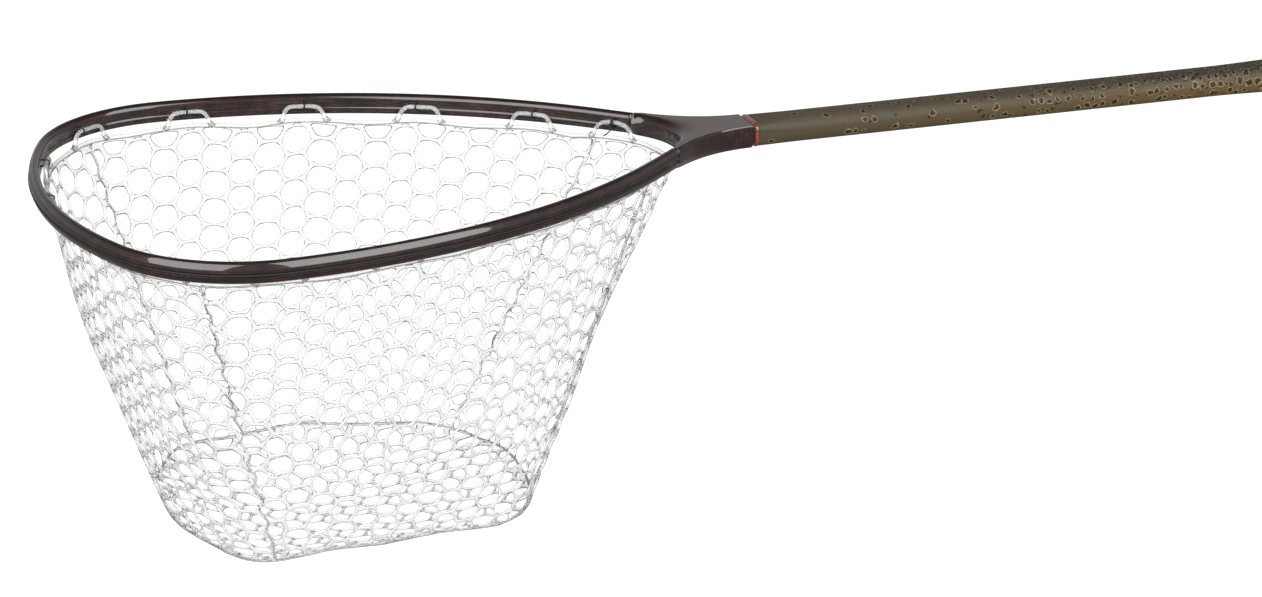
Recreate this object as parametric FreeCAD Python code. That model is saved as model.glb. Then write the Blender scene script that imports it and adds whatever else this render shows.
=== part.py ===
"""A long-handled landing net: a composite teardrop hoop and handle with a clear rubber bag laced inside.

Millimetres. X runs along the handle towards its butt, Z is up, and the bag hangs down.
The origin is the middle of the hand grip, on the handle's own axis.
"""
import FreeCAD, Part
import math
import os

V = FreeCAD.Vector
UP = V(0, 0, 1)
NEAR = 1e-6                  # lengths closer than this are equal

# Lengths along the handle, from the hand grip's middle
HOOP_TIP_X = -855.0          # centreline of the hoop's far end
RING_X = -402.0              # start of the accent ring, where the throat ends
RING_LENGTH = 2.5
BUTT_X = 80.0                # end of the butt cap
BUTT_EDGE_RADIUS = 5.0

# Hoop outline: tangent arcs (radius, turn in degrees) from the tip, all bending the same way
HOOP_ARCS = [(274.0, 22.8), (92.0, 68.6), (401.0, 41.7)]
THROAT_STRAIGHT = 22.5       # straight stretch between the last arc and the rounded throat

# Hoop section: upright, flat-sided, with round top and bottom
HOOP_HALF_WIDTH = 3.55
HOOP_HALF_HEIGHT = 6.8
HOOP_WALL = 1.4
GROOVE_Z = -1.0              # lacing groove along the outer face
GROOVE_RADIUS = 1.0

# Throat, handle and butt
THROAT_HALF_WIDTH = 13.3
THROAT_HALF_HEIGHT = 7.2
THROAT_EDGE_RADIUS = 2.6
HANDLE_WALL = 1.5
HANDLE_STATIONS = [          # x, half width, half height, corner radius
    (RING_X + RING_LENGTH, 13.3, 7.6, 4.5),
    (-372.0, 12.7, 8.5, 8.0),
    (-80.0, 12.6, 8.6, 8.4),
    (-20.0, 13.8, 9.6, 9.3),
    (30.0, 15.4, 10.8, 10.4),
    (66.0, 14.6, 10.2, 9.9),
]
SPIGOT_LENGTH = 60.0
SPIGOT_IN_THROAT = 18.0
CAP_PLUG = 16.0
LANYARD_X = 71.0
LANYARD_RADIUS = 2.5
EYELET_WALL = 0.8

# Lacing cord
CORD_RADIUS = 0.65
STITCH_RADIUS = 0.55         # where the cord is pulled tight through the hoop
STITCH_CLEARANCE = 0.1
CORD_GAP = 0.05              # from the bottom of the groove to the cord
TAIL_RADIUS = 0.4
TAIL_ROUTE = [               # along the hoop, outwards from the loop's bar, up
    (0.0, 0.0, -2.4),
    (-0.6, -0.5, -4.0),
    (-1.7, -1.1, -5.6),
    (-3.2, -1.9, -7.0),
    (-5.0, -2.6, -8.1),
]
ARC_SHARE = 0.45             # of the shorter run, taken by each bend of a free cord

# Rubber bag
LOOP_RADIUS = 1.4
LOOP_GAP = 2 * CORD_RADIUS + 0.15    # between a loop's bar and the hoop, with a turn of cord in it
LOOP_HALF_BAR = 10.5
LOOP_HALF_FOOT = 14.0
LOOP_CORNER = 6.0
LOOP_COUNT = 15
LOOP_SPACING = 75.6
LOOP_SHIFT = 12.0            # the middle loop stands this far round from the tip
LOOP_LAST = 522.0            # no loop stands further round the hoop than this
RIM_RADIUS = 1.5
RIM_Z = -9.3
WALL_TOP_Z = -11.4
WALL_THICKNESS = 2.0
BASE_Z = -205.0
BASE_SAG = 20.0
BASE_THICKNESS = 2.2
BASE_TIP_X = HOOP_TIP_X + 67.0
BASE_ARCS = [(165.0, 32.0), (45.0, 64.0), (900.0, 8.0), (40.0, 60.0)]
BASE_RING_RADIUS = 1.5
WALL_BOTTOM_Z = BASE_Z + BASE_RING_RADIUS + 0.5
FLOOR_GAP = 0.2              # from the base ring down to the floor's edge
FLOOR_EDGE_SCALE = 0.985     # the floor's edge, against the base ring
BASE_PANEL_SCALE = 0.6       # the flat bottom of the sagging floor, against the base ring
WALL_AIM_X = BASE_TIP_X + 110.0      # the place on the axis that the walls' thickness points to
SEAM_RADIUS = 1.2
SEAM_GAP = 2.2               # from a corner seam's line to the panels beside it
PANEL_POINTS = 9


def heading_vector(heading):
    return V(math.cos(heading), math.sin(heading), 0)


def outward_vector(heading):
    return V(-math.sin(heading), math.cos(heading), 0)


def half_outline(tip_x, arcs, straight=0.0, inset=0.0):
    """The far half of a closed outline from its tip, as steps (point, heading, radius, length).

    A radius of None is a straight. The last arc's radius closes the outline square to the axis.
    """
    point, heading, steps = V(tip_x, 0, 0), math.pi / 2, []

    def add(radius, length):
        nonlocal point, heading
        place = point - outward_vector(heading) * inset
        if radius is None:
            steps.append((place, heading, None, length))
            point = point + heading_vector(heading) * length
            return
        turn = length / radius
        steps.append((place, heading, radius - inset, (radius - inset) * turn))
        centre = point - outward_vector(heading) * radius
        heading -= turn
        point = centre + outward_vector(heading) * radius

    for radius, turn in arcs:
        add(radius, radius * math.radians(turn))
    if straight:
        add(None, straight)
    radius = point.y / math.cos(heading)
    add(radius, radius * (heading + math.pi / 2))
    return steps


def along(steps, distance):
    """Point and heading at a distance from the tip; negative distances are on the near half."""
    left = abs(distance)
    for place, heading, radius, length in steps:
        if left <= length or place is steps[-1][0]:
            break
        left -= length
    if radius is None:
        point = place + heading_vector(heading) * left
    else:
        centre = place - outward_vector(heading) * radius
        heading -= left / radius
        point = centre + outward_vector(heading) * radius
    if distance < 0:
        point, heading = V(point.x, -point.y, point.z), math.pi - heading
    return point, heading


def half_length(steps):
    return sum(step[3] for step in steps)


def sweep(steps, section, mirrored=True):
    """Carries section(point, heading), a face, along each step, and joins the runs."""
    solids = []
    for place, heading, radius, length in steps:
        face = section(place, heading)
        if radius is None:
            solids.append(face.extrude(heading_vector(heading) * length))
        else:
            centre = place - outward_vector(heading) * radius
            solids.append(face.revolve(centre, UP, -math.degrees(length / radius)))
    if mirrored:
        solids += [s.mirror(V(0, 0, 0), V(0, 1, 0)) for s in solids]
    return solids[0].fuse(solids[1:]).removeSplitter()


def across(place, heading, u, z):
    """A point of a section: u outwards from the path, z up."""
    return place + outward_vector(heading) * u + UP * z


def round_face(place, heading, radius, u, z):
    circle = Part.Circle(across(place, heading, u, z), heading_vector(heading), radius)
    return Part.Face(Part.Wire(circle.toShape()))


def hoop_face(place, heading, wall=0.0, groove=True):
    """The hoop's section, inset by wall, with the lacing groove in its outer face."""
    w = HOOP_HALF_WIDTH - wall
    flat = HOOP_HALF_HEIGHT - HOOP_HALF_WIDTH

    def at(u, z):
        return across(place, heading, u, z)

    edges = [Part.Arc(at(-w, flat), at(0, flat + w), at(w, flat)).toShape()]
    if groove:
        top, bottom = GROOVE_Z + GROOVE_RADIUS, GROOVE_Z - GROOVE_RADIUS
        edges += [
            Part.makeLine(at(w, flat), at(w, top)),
            Part.Arc(at(w, top), at(w - GROOVE_RADIUS, GROOVE_Z), at(w, bottom)).toShape(),
            Part.makeLine(at(w, bottom), at(w, -flat)),
        ]
    else:
        edges.append(Part.makeLine(at(w, flat), at(w, -flat)))
    edges.append(Part.Arc(at(w, -flat), at(0, -flat - w), at(-w, -flat)).toShape())
    edges.append(Part.makeLine(at(-w, -flat), at(-w, flat)))
    return Part.Face(Part.Wire(edges))


def in_place(shape, distance):
    """Sets a shape built at the origin (x along the hoop, y outwards) on the chord that a loop spans."""
    before = along(HOOP, distance - LOOP_HALF_BAR)[0]
    after = along(HOOP, distance + LOOP_HALF_BAR)[0]
    chord = after - before
    copy = shape.copy()
    copy.rotate(V(0, 0, 0), UP, math.degrees(math.atan2(chord.y, chord.x)))
    copy.translate((before + after) * 0.5)
    return copy


HOOP = half_outline(HOOP_TIP_X, HOOP_ARCS, THROAT_STRAIGHT)
ARMS = HOOP[: len(HOOP_ARCS) + 1]     # the arcs and the straight: the rest is the throat
LOOP_INSET = HOOP_HALF_WIDTH + LOOP_GAP + LOOP_RADIUS
CORD_INSET = HOOP_HALF_WIDTH - GROOVE_RADIUS + CORD_RADIUS + CORD_GAP
RIM = half_outline(HOOP_TIP_X, HOOP_ARCS, THROAT_STRAIGHT, inset=LOOP_INSET)
BASE = half_outline(BASE_TIP_X, BASE_ARCS)


def loop_places():
    half = LOOP_COUNT // 2
    return [min(LOOP_SHIFT + LOOP_SPACING * k, LOOP_LAST) for k in range(-half, half + 1)]


def stitch_pin(radius):
    """The stretch of a stitch that passes through the hoop, from the groove's cord to a loop's bar."""
    start, end = CORD_INSET - CORD_RADIUS, -(LOOP_INSET - LOOP_RADIUS - STITCH_RADIUS)
    return Part.makeCylinder(radius, start - end, V(0, start, GROOVE_Z), V(0, -1, 0))


def lacing_stitch():
    """One stitch of the cord: through the hoop and once round the bar of a loop."""
    wrap = Part.makeTorus(LOOP_RADIUS + CORD_RADIUS, CORD_RADIUS, V(0, -LOOP_INSET, 0), V(1, 0, 0))
    return stitch_pin(STITCH_RADIUS).fuse(wrap)


def bent_tube(points, radius, corner=None):
    """A round tube along straight runs joined by arcs, each as large as its two runs allow unless given."""
    edges, start = [], points[0]
    for before, point, after in zip(points, points[1:], points[2:]):
        shorter = min((before - point).Length, (after - point).Length)
        a, b = (before - point).normalize(), (after - point).normalize()
        half = a.getAngle(b) / 2
        bend = corner or ARC_SHARE * shorter * math.tan(half)
        cut = bend / math.tan(half)
        middle = point + (a + b).normalize() * (bend / math.sin(half) - bend)
        print(f"bend radius {bend:.1f}")
        edges.append(Part.makeLine(start, point + a * cut))
        edges.append(Part.Arc(point + a * cut, middle, point + b * cut).toShape())
        start = point + b * cut
    edges.append(Part.makeLine(start, points[-1]))
    path = Part.Wire(edges)
    ring = Part.Wire(Part.Circle(points[0], points[1] - points[0], radius).toShape())
    return path.makePipeShell([ring], True, False)


def hanger_loop():
    """One staple-shaped loop of the bag, standing on the rim against the hoop's inner face."""
    feet = [V(side * LOOP_HALF_FOOT, -LOOP_INSET, RIM_Z) for side in (-1, 1)]
    bar = [V(side * LOOP_HALF_BAR, -LOOP_INSET, 0) for side in (-1, 1)]
    return bent_tube([feet[0], bar[0], bar[1], feet[1]], LOOP_RADIUS, LOOP_CORNER)


def lacing_tail():
    """The cord's cut end, which hangs from the stitch on the last loop."""
    tail = bent_tube([V(x, y - LOOP_INSET, z) for x, y, z in TAIL_ROUTE], TAIL_RADIUS)
    return tail.cut(lacing_stitch())


def throat():
    """The yoke that joins the two arms to the handle, with a rounded inner end."""
    place, heading = HOOP[len(ARMS)][:2]
    out = across(place, heading, HOOP_HALF_WIDTH, 0)
    turn = -heading
    run, drop = RING_X - out.x, out.y - THROAT_HALF_WIDTH
    cos, sin = math.cos(turn), math.sin(turn)
    flare = (drop * cos - run * sin) / ((1 - cos) * cos - sin * sin)
    straight = (run - flare * sin) / cos
    bend = out + heading_vector(heading) * straight
    centre = bend + outward_vector(heading) * flare
    middle = centre - outward_vector(heading / 2) * flare
    end = V(RING_X, THROAT_HALF_WIDTH, 0)
    inner = half_outline(HOOP_TIP_X, HOOP_ARCS, THROAT_STRAIGHT, inset=HOOP_HALF_WIDTH)[len(ARMS):]
    inner_start = inner[0][0]
    inner_end = along(inner, half_length(inner))[0]

    def mirrored(p):
        return V(p.x, -p.y, p.z)

    edges = [
        Part.makeLine(inner_start, out),
        Part.makeLine(out, bend),
        Part.Arc(bend, middle, end).toShape(),
        Part.makeLine(end, mirrored(end)),
        Part.Arc(mirrored(end), mirrored(middle), mirrored(bend)).toShape(),
        Part.makeLine(mirrored(bend), mirrored(out)),
        Part.makeLine(mirrored(out), mirrored(inner_start)),
        Part.Arc(mirrored(inner_start), inner_end, inner_start).toShape(),
    ]
    plan = Part.Face(Part.Wire(edges))
    plan.translate(UP * -THROAT_HALF_HEIGHT)
    block = plan.extrude(UP * 2 * THROAT_HALF_HEIGHT)
    ends = [place + UP * side for side in (-THROAT_HALF_HEIGHT, THROAT_HALF_HEIGHT)]
    rims = []
    for edge in block.Edges:
        level = abs(edge.BoundBox.ZMax - edge.BoundBox.ZMin) < NEAR
        at_ring = edge.BoundBox.XMin > RING_X - NEAR
        at_arm = min(edge.distToShape(Part.Vertex(p))[0] for p in ends + [mirrored(p) for p in ends]) < 1e-3
        if level and not at_ring and not at_arm:
            rims.append(edge)
    return block.makeFillet(THROAT_EDGE_RADIUS, rims)


def handle_wire(x, half_width, half_height, corner):
    """A rounded rectangle square to the handle."""
    edges = []
    corners = [(1, 1, 0), (-1, 1, 90), (-1, -1, 180), (1, -1, 270)]
    ends = []
    for side_y, side_z, start in corners:
        centre = V(x, side_y * (half_width - corner), side_z * (half_height - corner))
        points = [
            centre + V(0, math.cos(math.radians(a)), math.sin(math.radians(a))) * corner
            for a in (start, start + 45, start + 90)
        ]
        edges.append(Part.Arc(*points).toShape())
        ends.append((points[0], points[2]))
    for here, after in zip(ends, ends[1:] + ends[:1]):
        edges.append(Part.makeLine(here[1], after[0]))
    return Part.Wire(Part.__sortEdges__(edges))


def handle_solid(wall, start, end):
    """The handle's own shape, inset by wall, between two places along it."""
    wires = [handle_wire(x, w - wall, h - wall, c - wall) for x, w, h, c in HANDLE_STATIONS]
    whole = Part.makeLoft(wires, True, True)
    room = Part.makeBox(end - start, 4 * THROAT_HALF_WIDTH, 4 * THROAT_HALF_WIDTH)
    room.translate(V(start, -2 * THROAT_HALF_WIDTH, -2 * THROAT_HALF_WIDTH))
    return whole.common(room)


def butt_cap(hole):
    """The rounded plug in the butt, drilled for a lanyard."""
    x, half_width, half_height, corner = HANDLE_STATIONS[-1]
    head = Part.Face(handle_wire(x, half_width, half_height, corner)).extrude(V(BUTT_X - x, 0, 0))
    rim = [e for e in head.Edges if e.BoundBox.XMin > BUTT_X - NEAR]
    head = head.makeFillet(BUTT_EDGE_RADIUS, rim)
    plug = handle_solid(HANDLE_WALL, x - CAP_PLUG, x)
    return head.fuse(plug).cut(hole)


def wall_panel(start, end, base_start, base_end):
    """One side of the bag, between a stretch of the rim and a stretch of the base ring."""
    wires = []
    for steps, first, last, z in ((RIM, start, end, WALL_TOP_Z), (BASE, base_start, base_end, WALL_BOTTOM_Z)):
        outer, inner = [], []
        for i in range(PANEL_POINTS):
            point, heading = along(steps, first + (last - first) * i / (PANEL_POINTS - 1))
            inwards = V(WALL_AIM_X - point.x, -point.y, 0).normalize()
            outer.append(point + UP * z)
            inner.append(point + UP * z + inwards * WALL_THICKNESS)
        curves = []
        for points in (outer, inner):
            curve = Part.BSplineCurve()
            curve.interpolate(points)
            curves.append(curve.toShape())
        sides = [Part.makeLine(outer[0], inner[0]), Part.makeLine(outer[-1], inner[-1])]
        wires.append(Part.Wire([curves[0], sides[1], curves[1], sides[0]]))
    return Part.makeLoft(wires, True, True)


def corner_places():
    """Distances round the rim and round the base ring at which the bag's corner seams stand."""
    lengths = [step[3] for step in RIM]
    base_lengths = [step[3] for step in BASE]
    tip = (lengths[0] + lengths[1] / 2, base_lengths[0] + base_lengths[1] / 2)
    back = (sum(lengths[:3]), sum(base_lengths[:3]) + base_lengths[3] / 2)
    return tip, back


def corner_seam(place, base_place):
    top = along(RIM, place)[0] + UP * WALL_TOP_Z
    bottom = along(BASE, base_place)[0] + UP * WALL_BOTTOM_Z
    return Part.makeCylinder(SEAM_RADIUS, (bottom - top).Length, top, bottom - top)


def base_outline(scale, z):
    """The base ring's outline as a face, shrunk about its middle."""
    edges = []
    for place, heading, radius, length in BASE:
        centre = place - outward_vector(heading) * radius
        points = [
            centre + outward_vector(heading - length / radius * share) * radius for share in (0, 0.5, 1)
        ]
        edges.append(Part.Arc(*points).toShape())
    edges += [e.mirror(V(0, 0, 0), V(0, 1, 0)) for e in edges]
    wire = Part.Wire(Part.__sortEdges__(edges))
    middle = wire.BoundBox.Center
    wire.scale(scale, middle)
    wire.translate(UP * z)
    return wire


def bag_floor():
    """The bag's floor: a dish that sags below the base ring."""
    top = BASE_Z - BASE_RING_RADIUS - FLOOR_GAP
    dish = Part.makeLoft([base_outline(FLOOR_EDGE_SCALE, top), base_outline(BASE_PANEL_SCALE, top - BASE_SAG)], True, True)
    raised = dish.copy()
    raised.translate(UP * BASE_THICKNESS)
    return dish.cut(raised)


def save(name, shape):
    solids = shape.Solids
    shape = solids[0] if len(solids) == 1 else Part.makeCompound(solids)
    shape.exportStep(os.path.join("parts", name + ".step"))
    print(f"{name:22s} solids {len(solids)} valid {shape.isValid()} volume {shape.Volume:.0f}")


def build_hoop():
    shell = sweep(ARMS, hoop_face)
    core = sweep(ARMS, lambda p, h: hoop_face(p, h, HOOP_WALL, groove=False))
    pin = stitch_pin(STITCH_RADIUS + STITCH_CLEARANCE)
    holes = [in_place(pin, s) for s in loop_places()]
    save("hoop_shell", shell.cut(core).cut(holes))
    save("hoop_core", core.cut(holes))
    save("lacing_cord", sweep(ARMS, lambda p, h: round_face(p, h, CORD_RADIUS, CORD_INSET, GROOVE_Z)))
    stitch = lacing_stitch()
    for number, place in enumerate(loop_places(), 1):
        save(f"lacing_stitch_{number:02d}", in_place(stitch, place))
    save("lacing_tail", in_place(lacing_tail(), loop_places()[-1]))


def build_throat_and_handle():
    ring_end = RING_X + RING_LENGTH
    butt = HANDLE_STATIONS[-1][0]
    x, half_width, half_height, corner = HANDLE_STATIONS[0]
    spigot = handle_solid(HANDLE_WALL, ring_end, ring_end + SPIGOT_LENGTH - SPIGOT_IN_THROAT)
    inner = Part.Face(handle_wire(x, half_width - HANDLE_WALL, half_height - HANDLE_WALL, corner - HANDLE_WALL))
    socket = inner.extrude(V(-RING_LENGTH - SPIGOT_IN_THROAT, 0, 0))
    ring = Part.Face(handle_wire(x, half_width, half_height, corner)).extrude(V(-RING_LENGTH, 0, 0))
    save("throat_yoke", throat().cut(socket))
    save("throat_spigot", spigot.fuse(socket).removeSplitter())
    save("accent_ring", ring.cut(socket))
    whole = handle_solid(0, ring_end, butt)
    hollow = handle_solid(HANDLE_WALL, ring_end, butt)
    save("handle_tube", whole.cut(hollow))
    core_start = ring_end + SPIGOT_LENGTH - SPIGOT_IN_THROAT
    save("handle_core", handle_solid(HANDLE_WALL, core_start, butt - CAP_PLUG))
    reach = HANDLE_STATIONS[-1][2]
    hole = Part.makeCylinder(LANYARD_RADIUS + EYELET_WALL, 2 * reach, V(LANYARD_X, 0, -reach))
    bore = Part.makeCylinder(LANYARD_RADIUS, 2 * reach, V(LANYARD_X, 0, -reach))
    save("butt_cap", butt_cap(hole))
    save("lanyard_eyelet", hole.cut(bore))


def build_bag():
    rim = sweep(RIM, lambda p, h: round_face(p, h, RIM_RADIUS, 0, RIM_Z))
    save("bag_rim", rim)
    loop = hanger_loop()
    for number, place in enumerate(loop_places(), 1):
        save(f"hanger_loop_{number:02d}", in_place(loop, place).cut(rim))
    tip, back = corner_places()
    walls = {
        "bag_wall_tip": ((-tip[0], tip[0]), (-tip[1], tip[1])),
        "bag_wall_far": ((tip[0], back[0]), (tip[1], back[1])),
        "bag_wall_near": ((-back[0], -tip[0]), (-back[1], -tip[1])),
    }
    for name, ((start, end), (base_start, base_end)) in walls.items():
        panel = wall_panel(start + SEAM_GAP, end - SEAM_GAP, base_start + SEAM_GAP, base_end - SEAM_GAP)
        save(name, panel)
    throat_end, base_end = half_length(RIM), half_length(BASE)
    half = wall_panel(back[0] + SEAM_GAP, throat_end, back[1] + SEAM_GAP, base_end)
    save("bag_wall_throat", half.fuse(half.mirror(V(0, 0, 0), V(0, 1, 0))).removeSplitter())
    corners = {"tip_far": tip, "throat_far": back}
    for name, (place, base_place) in corners.items():
        seam = corner_seam(place, base_place)
        save("bag_seam_" + name, seam)
        save("bag_seam_" + name.replace("far", "near"), seam.mirror(V(0, 0, 0), V(0, 1, 0)))
    save("bag_base_ring", sweep(BASE, lambda p, h: round_face(p, h, BASE_RING_RADIUS, 0, BASE_Z)))
    save("bag_floor", bag_floor())


def build():
    os.makedirs("parts", exist_ok=True)
    build_hoop()
    build_throat_and_handle()
    build_bag()


build()
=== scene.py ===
# %% [markdown]
# # A landing net with a clear rubber bag
#
# The real net is a long teardrop hoop of dark composite, a slim oval handle printed like a trout's
# skin, and a deep bag moulded from clear rubber and laced inside the hoop with black cord. The
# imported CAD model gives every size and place. Here each visible surface is worked out again as a
# smooth mesh and gets the finish of the real material.

import math

import bpy
import numpy as np
from mathutils import Matrix, Vector


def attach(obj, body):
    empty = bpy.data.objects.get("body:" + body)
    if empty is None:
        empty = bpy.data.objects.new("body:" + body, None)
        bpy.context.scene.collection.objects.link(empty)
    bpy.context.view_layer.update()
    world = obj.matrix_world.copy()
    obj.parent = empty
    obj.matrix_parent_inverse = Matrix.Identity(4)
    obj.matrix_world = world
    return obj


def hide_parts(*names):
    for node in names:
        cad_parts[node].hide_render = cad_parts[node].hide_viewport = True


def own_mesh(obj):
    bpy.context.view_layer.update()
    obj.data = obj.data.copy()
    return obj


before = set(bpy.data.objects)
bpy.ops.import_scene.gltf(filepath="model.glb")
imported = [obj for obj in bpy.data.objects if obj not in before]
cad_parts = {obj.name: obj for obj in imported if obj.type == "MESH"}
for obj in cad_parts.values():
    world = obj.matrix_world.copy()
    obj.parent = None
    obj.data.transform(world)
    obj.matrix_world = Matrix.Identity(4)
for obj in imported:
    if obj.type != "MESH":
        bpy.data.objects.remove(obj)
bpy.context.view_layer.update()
MM = 0.001

# %% [markdown]
# ## Camera
#
# A product like this is shot with a long lens from a few paces, a little above the hoop, so that
# the mouth of the bag is an open ellipse. The camera is set first, because everything else is
# judged through it: its direction is given as two angles, and its lens in millimetres.

# %% Camera
CAMERA_AZIMUTH = math.radians(-19.31)
CAMERA_ELEVATION = math.radians(19.62)
CAMERA_PLACE = Vector((-1.3802, -2.5671, 0.8659))
LENS_MM = 129.57


def camera_axes(azimuth, elevation):
    """The camera's right, up and backward directions, as the columns of a rotation."""
    right = Vector((math.cos(azimuth), math.sin(azimuth), 0))
    level = math.cos(elevation)
    back = Vector((math.sin(azimuth) * level, -math.cos(azimuth) * level, math.sin(elevation)))
    up = back.cross(right)
    return Matrix((right, up, back)).transposed()


camera_data = bpy.data.cameras.new("camera")
camera_data.lens = LENS_MM
camera_data.sensor_width = 36.0
camera = bpy.data.objects.new("camera", camera_data)
aim = camera_axes(CAMERA_AZIMUTH, CAMERA_ELEVATION).to_4x4()
camera.matrix_world = Matrix.Translation(CAMERA_PLACE) @ aim
bpy.context.scene.collection.objects.link(camera)
bpy.context.scene.camera = camera
print("camera stands", round(CAMERA_PLACE.length, 2), "m from the hand grip")

# %% [markdown]
# ## Helpers for meshes
#
# Nearly every piece here is a grid of points worked out with numpy: rows run along the piece,
# columns run round or across it. One function turns such a grid into a mesh and closes it where
# the rows or the columns come back to their start.

# %% Grid to mesh


def linked_object(name, points, faces, corner_uv=None):
    """A smooth mesh object in the scene, from points (n, 3), faces and a flat list of corner UVs."""
    mesh = bpy.data.meshes.new(name)
    mesh.from_pydata(points.tolist(), [], faces)
    if corner_uv is not None:
        mesh.uv_layers.new(name="surface").data.foreach_set("uv", corner_uv)
    mesh.polygons.foreach_set("use_smooth", np.full(len(faces), True))
    mesh.update()
    obj = bpy.data.objects.new(name, mesh)
    bpy.context.scene.collection.objects.link(obj)
    return obj


def new_object(name, points, faces, uv=None):
    """A closed surface from points (n, 3), quads or triangles, and an optional UV for each face corner.

    A closed surface encloses a positive volume, the sum of point . (next x after) over its
    triangles, when its faces look outwards. Where the sum comes out negative, every face is turned.
    """
    fan = np.array([(f[0], f[k], f[k + 1]) for f in faces for k in range(1, len(f) - 1)])
    a, b, c = points[fan[:, 0]], points[fan[:, 1]], points[fan[:, 2]]
    if np.einsum("ij,ij->i", a - points.mean(0), np.cross(b - a, c - a)).sum() < 0:
        faces = [f[::-1] for f in faces]
        uv = None if uv is None else [corners[::-1] for corners in uv]
    if uv is not None:
        uv = np.array([pair for corners in uv for pair in corners], np.float32).ravel()
    return linked_object(name, points, faces, uv)


def steps_along(points):
    """Distance from the first point to each point (n, 3), and on to the first again."""
    gaps = np.linalg.norm(np.roll(points, -1, axis=0) - points, axis=1)
    return np.concatenate([[0.0], np.cumsum(gaps)])


def grid_object(name, grid, close_rows=False):
    """A mesh from a grid (rows, columns, 3). Its UV is in metres: along the rows, then round the columns.

    The columns come back to their start, and so do the rows where they close. Otherwise fans from
    the middle of the first and of the last row cap the ends.
    """
    rows, columns = grid.shape[:2]
    u, v = steps_along(grid.mean(axis=1)), steps_along(grid[rows // 2])
    spans = rows if close_rows else rows - 1
    i, j = (index.ravel() for index in np.meshgrid(np.arange(spans), np.arange(columns), indexing="ij"))
    here, after, beside = i * columns, (i + 1) % rows * columns, (j + 1) % columns
    faces = np.stack([here + j, here + beside, after + beside, after + j], axis=1)
    uv = np.stack([[u[i], v[j]], [u[i], v[j + 1]], [u[i + 1], v[j + 1]], [u[i + 1], v[j]]])
    points, uv = grid.reshape(-1, 3), uv.transpose(2, 0, 1).tolist()
    faces = [tuple(f) for f in faces.tolist()]
    if not close_rows:
        middle, last = len(points), (rows - 1) * columns
        points = np.vstack([points, grid[[0, -1]].mean(axis=1)])
        for k in range(columns):
            after = (k + 1) % columns
            faces += [(middle, after, k), (middle + 1, last + k, last + after)]
            uv += [[(u[0], v[k])] * 3, [(u[rows - 1], v[k])] * 3]
    return new_object(name, points, faces, uv)


print("mesh helpers ready")

# %% [markdown]
# A round cord or rib is a circle carried along a path. The circle must not twist, so it is held to
# two directions at each point: the tangent's cross product with a fixed direction, and the cross
# product of those two.

# %% Tube along a path


def smooth_path(points, count):
    """A Catmull-Rom curve through points (n, 3), at count places: each blends its four nearest points."""
    p = np.asarray(points, float)
    t = np.linspace(0, len(p) - 1, count)
    k = np.minimum(t.astype(int), len(p) - 2)
    f = (t - k)[:, None]
    a, b, c, d = (p[np.clip(k + step, 0, len(p) - 1)] for step in (-1, 0, 1, 2))
    return 0.5 * (2 * b + (c - a) * f + (2 * a - 5 * b + 4 * c - d) * f**2 + (3 * b - a - 3 * c + d) * f**3)


def tube_grid(path, radius, sides, reference=(0, 0, 1), closed=False):
    """Rings of a circle carried along path (n, 3): point + radius * (cos * side + sin * lift)."""
    path = np.asarray(path, float)
    if closed:
        tangent = np.roll(path, -1, 0) - np.roll(path, 1, 0)
    else:
        tangent = np.gradient(path, axis=0)
    tangent /= np.linalg.norm(tangent, axis=1, keepdims=True)
    side = np.cross(tangent, np.broadcast_to(reference, path.shape))
    side /= np.linalg.norm(side, axis=1, keepdims=True)
    lift = np.cross(side, tangent)
    angle = np.linspace(0, 2 * np.pi, sides, endpoint=False)
    r = np.broadcast_to(np.asarray(radius, float), (len(path),))[:, None, None]
    ring = np.cos(angle)[None, :, None] * side[:, None] + np.sin(angle)[None, :, None] * lift[:, None]
    return path[:, None] + r * ring


def tube(name, path, radius, sides, reference=(0, 0, 1), closed=False):
    """A round tube as a mesh object, closed on itself or capped at its ends."""
    return grid_object(name, tube_grid(path, radius, sides, reference, closed), close_rows=closed)


def joined(name, grids):
    """One object from several grids, so that small pieces which are one length of cord stay one piece."""
    points, faces, uv, offset = [], [], [], 0
    for obj in [grid_object(name, grid) for grid in grids]:
        mesh = obj.data
        places, corner_uv = np.empty(3 * len(mesh.vertices)), np.empty(2 * len(mesh.loops))
        mesh.vertices.foreach_get("co", places)
        mesh.uv_layers[0].data.foreach_get("uv", corner_uv)
        points.append(places.reshape(-1, 3))
        uv.append(corner_uv)
        faces += [tuple(v + offset for v in p.vertices) for p in mesh.polygons]
        offset += len(mesh.vertices)
        bpy.data.objects.remove(obj)
    return linked_object(name, np.vstack(points), faces, np.concatenate(uv))


print("tube helpers ready")

# %% [markdown]
# ## The hoop's outline
#
# The hoop is drawn the way a pattern maker would: three tangent arcs from the tip round the
# shoulder to the long side, a short straight, and a last arc that closes square to the axis. The
# bag's base ring is drawn the same way. A place on either is a distance from the tip, positive on
# the far side and negative on the near side.

# %% Outlines from tangent arcs
HOOP_TIP_X = -855.0 * MM
HOOP_ARCS = [(274.0 * MM, 22.8), (92.0 * MM, 68.6), (401.0 * MM, 41.7)]
THROAT_STRAIGHT = 22.5 * MM
BASE_TIP_X = HOOP_TIP_X + 67.0 * MM
BASE_ARCS = [(165.0 * MM, 32.0), (45.0 * MM, 64.0), (900.0 * MM, 8.0), (40.0 * MM, 60.0)]


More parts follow.
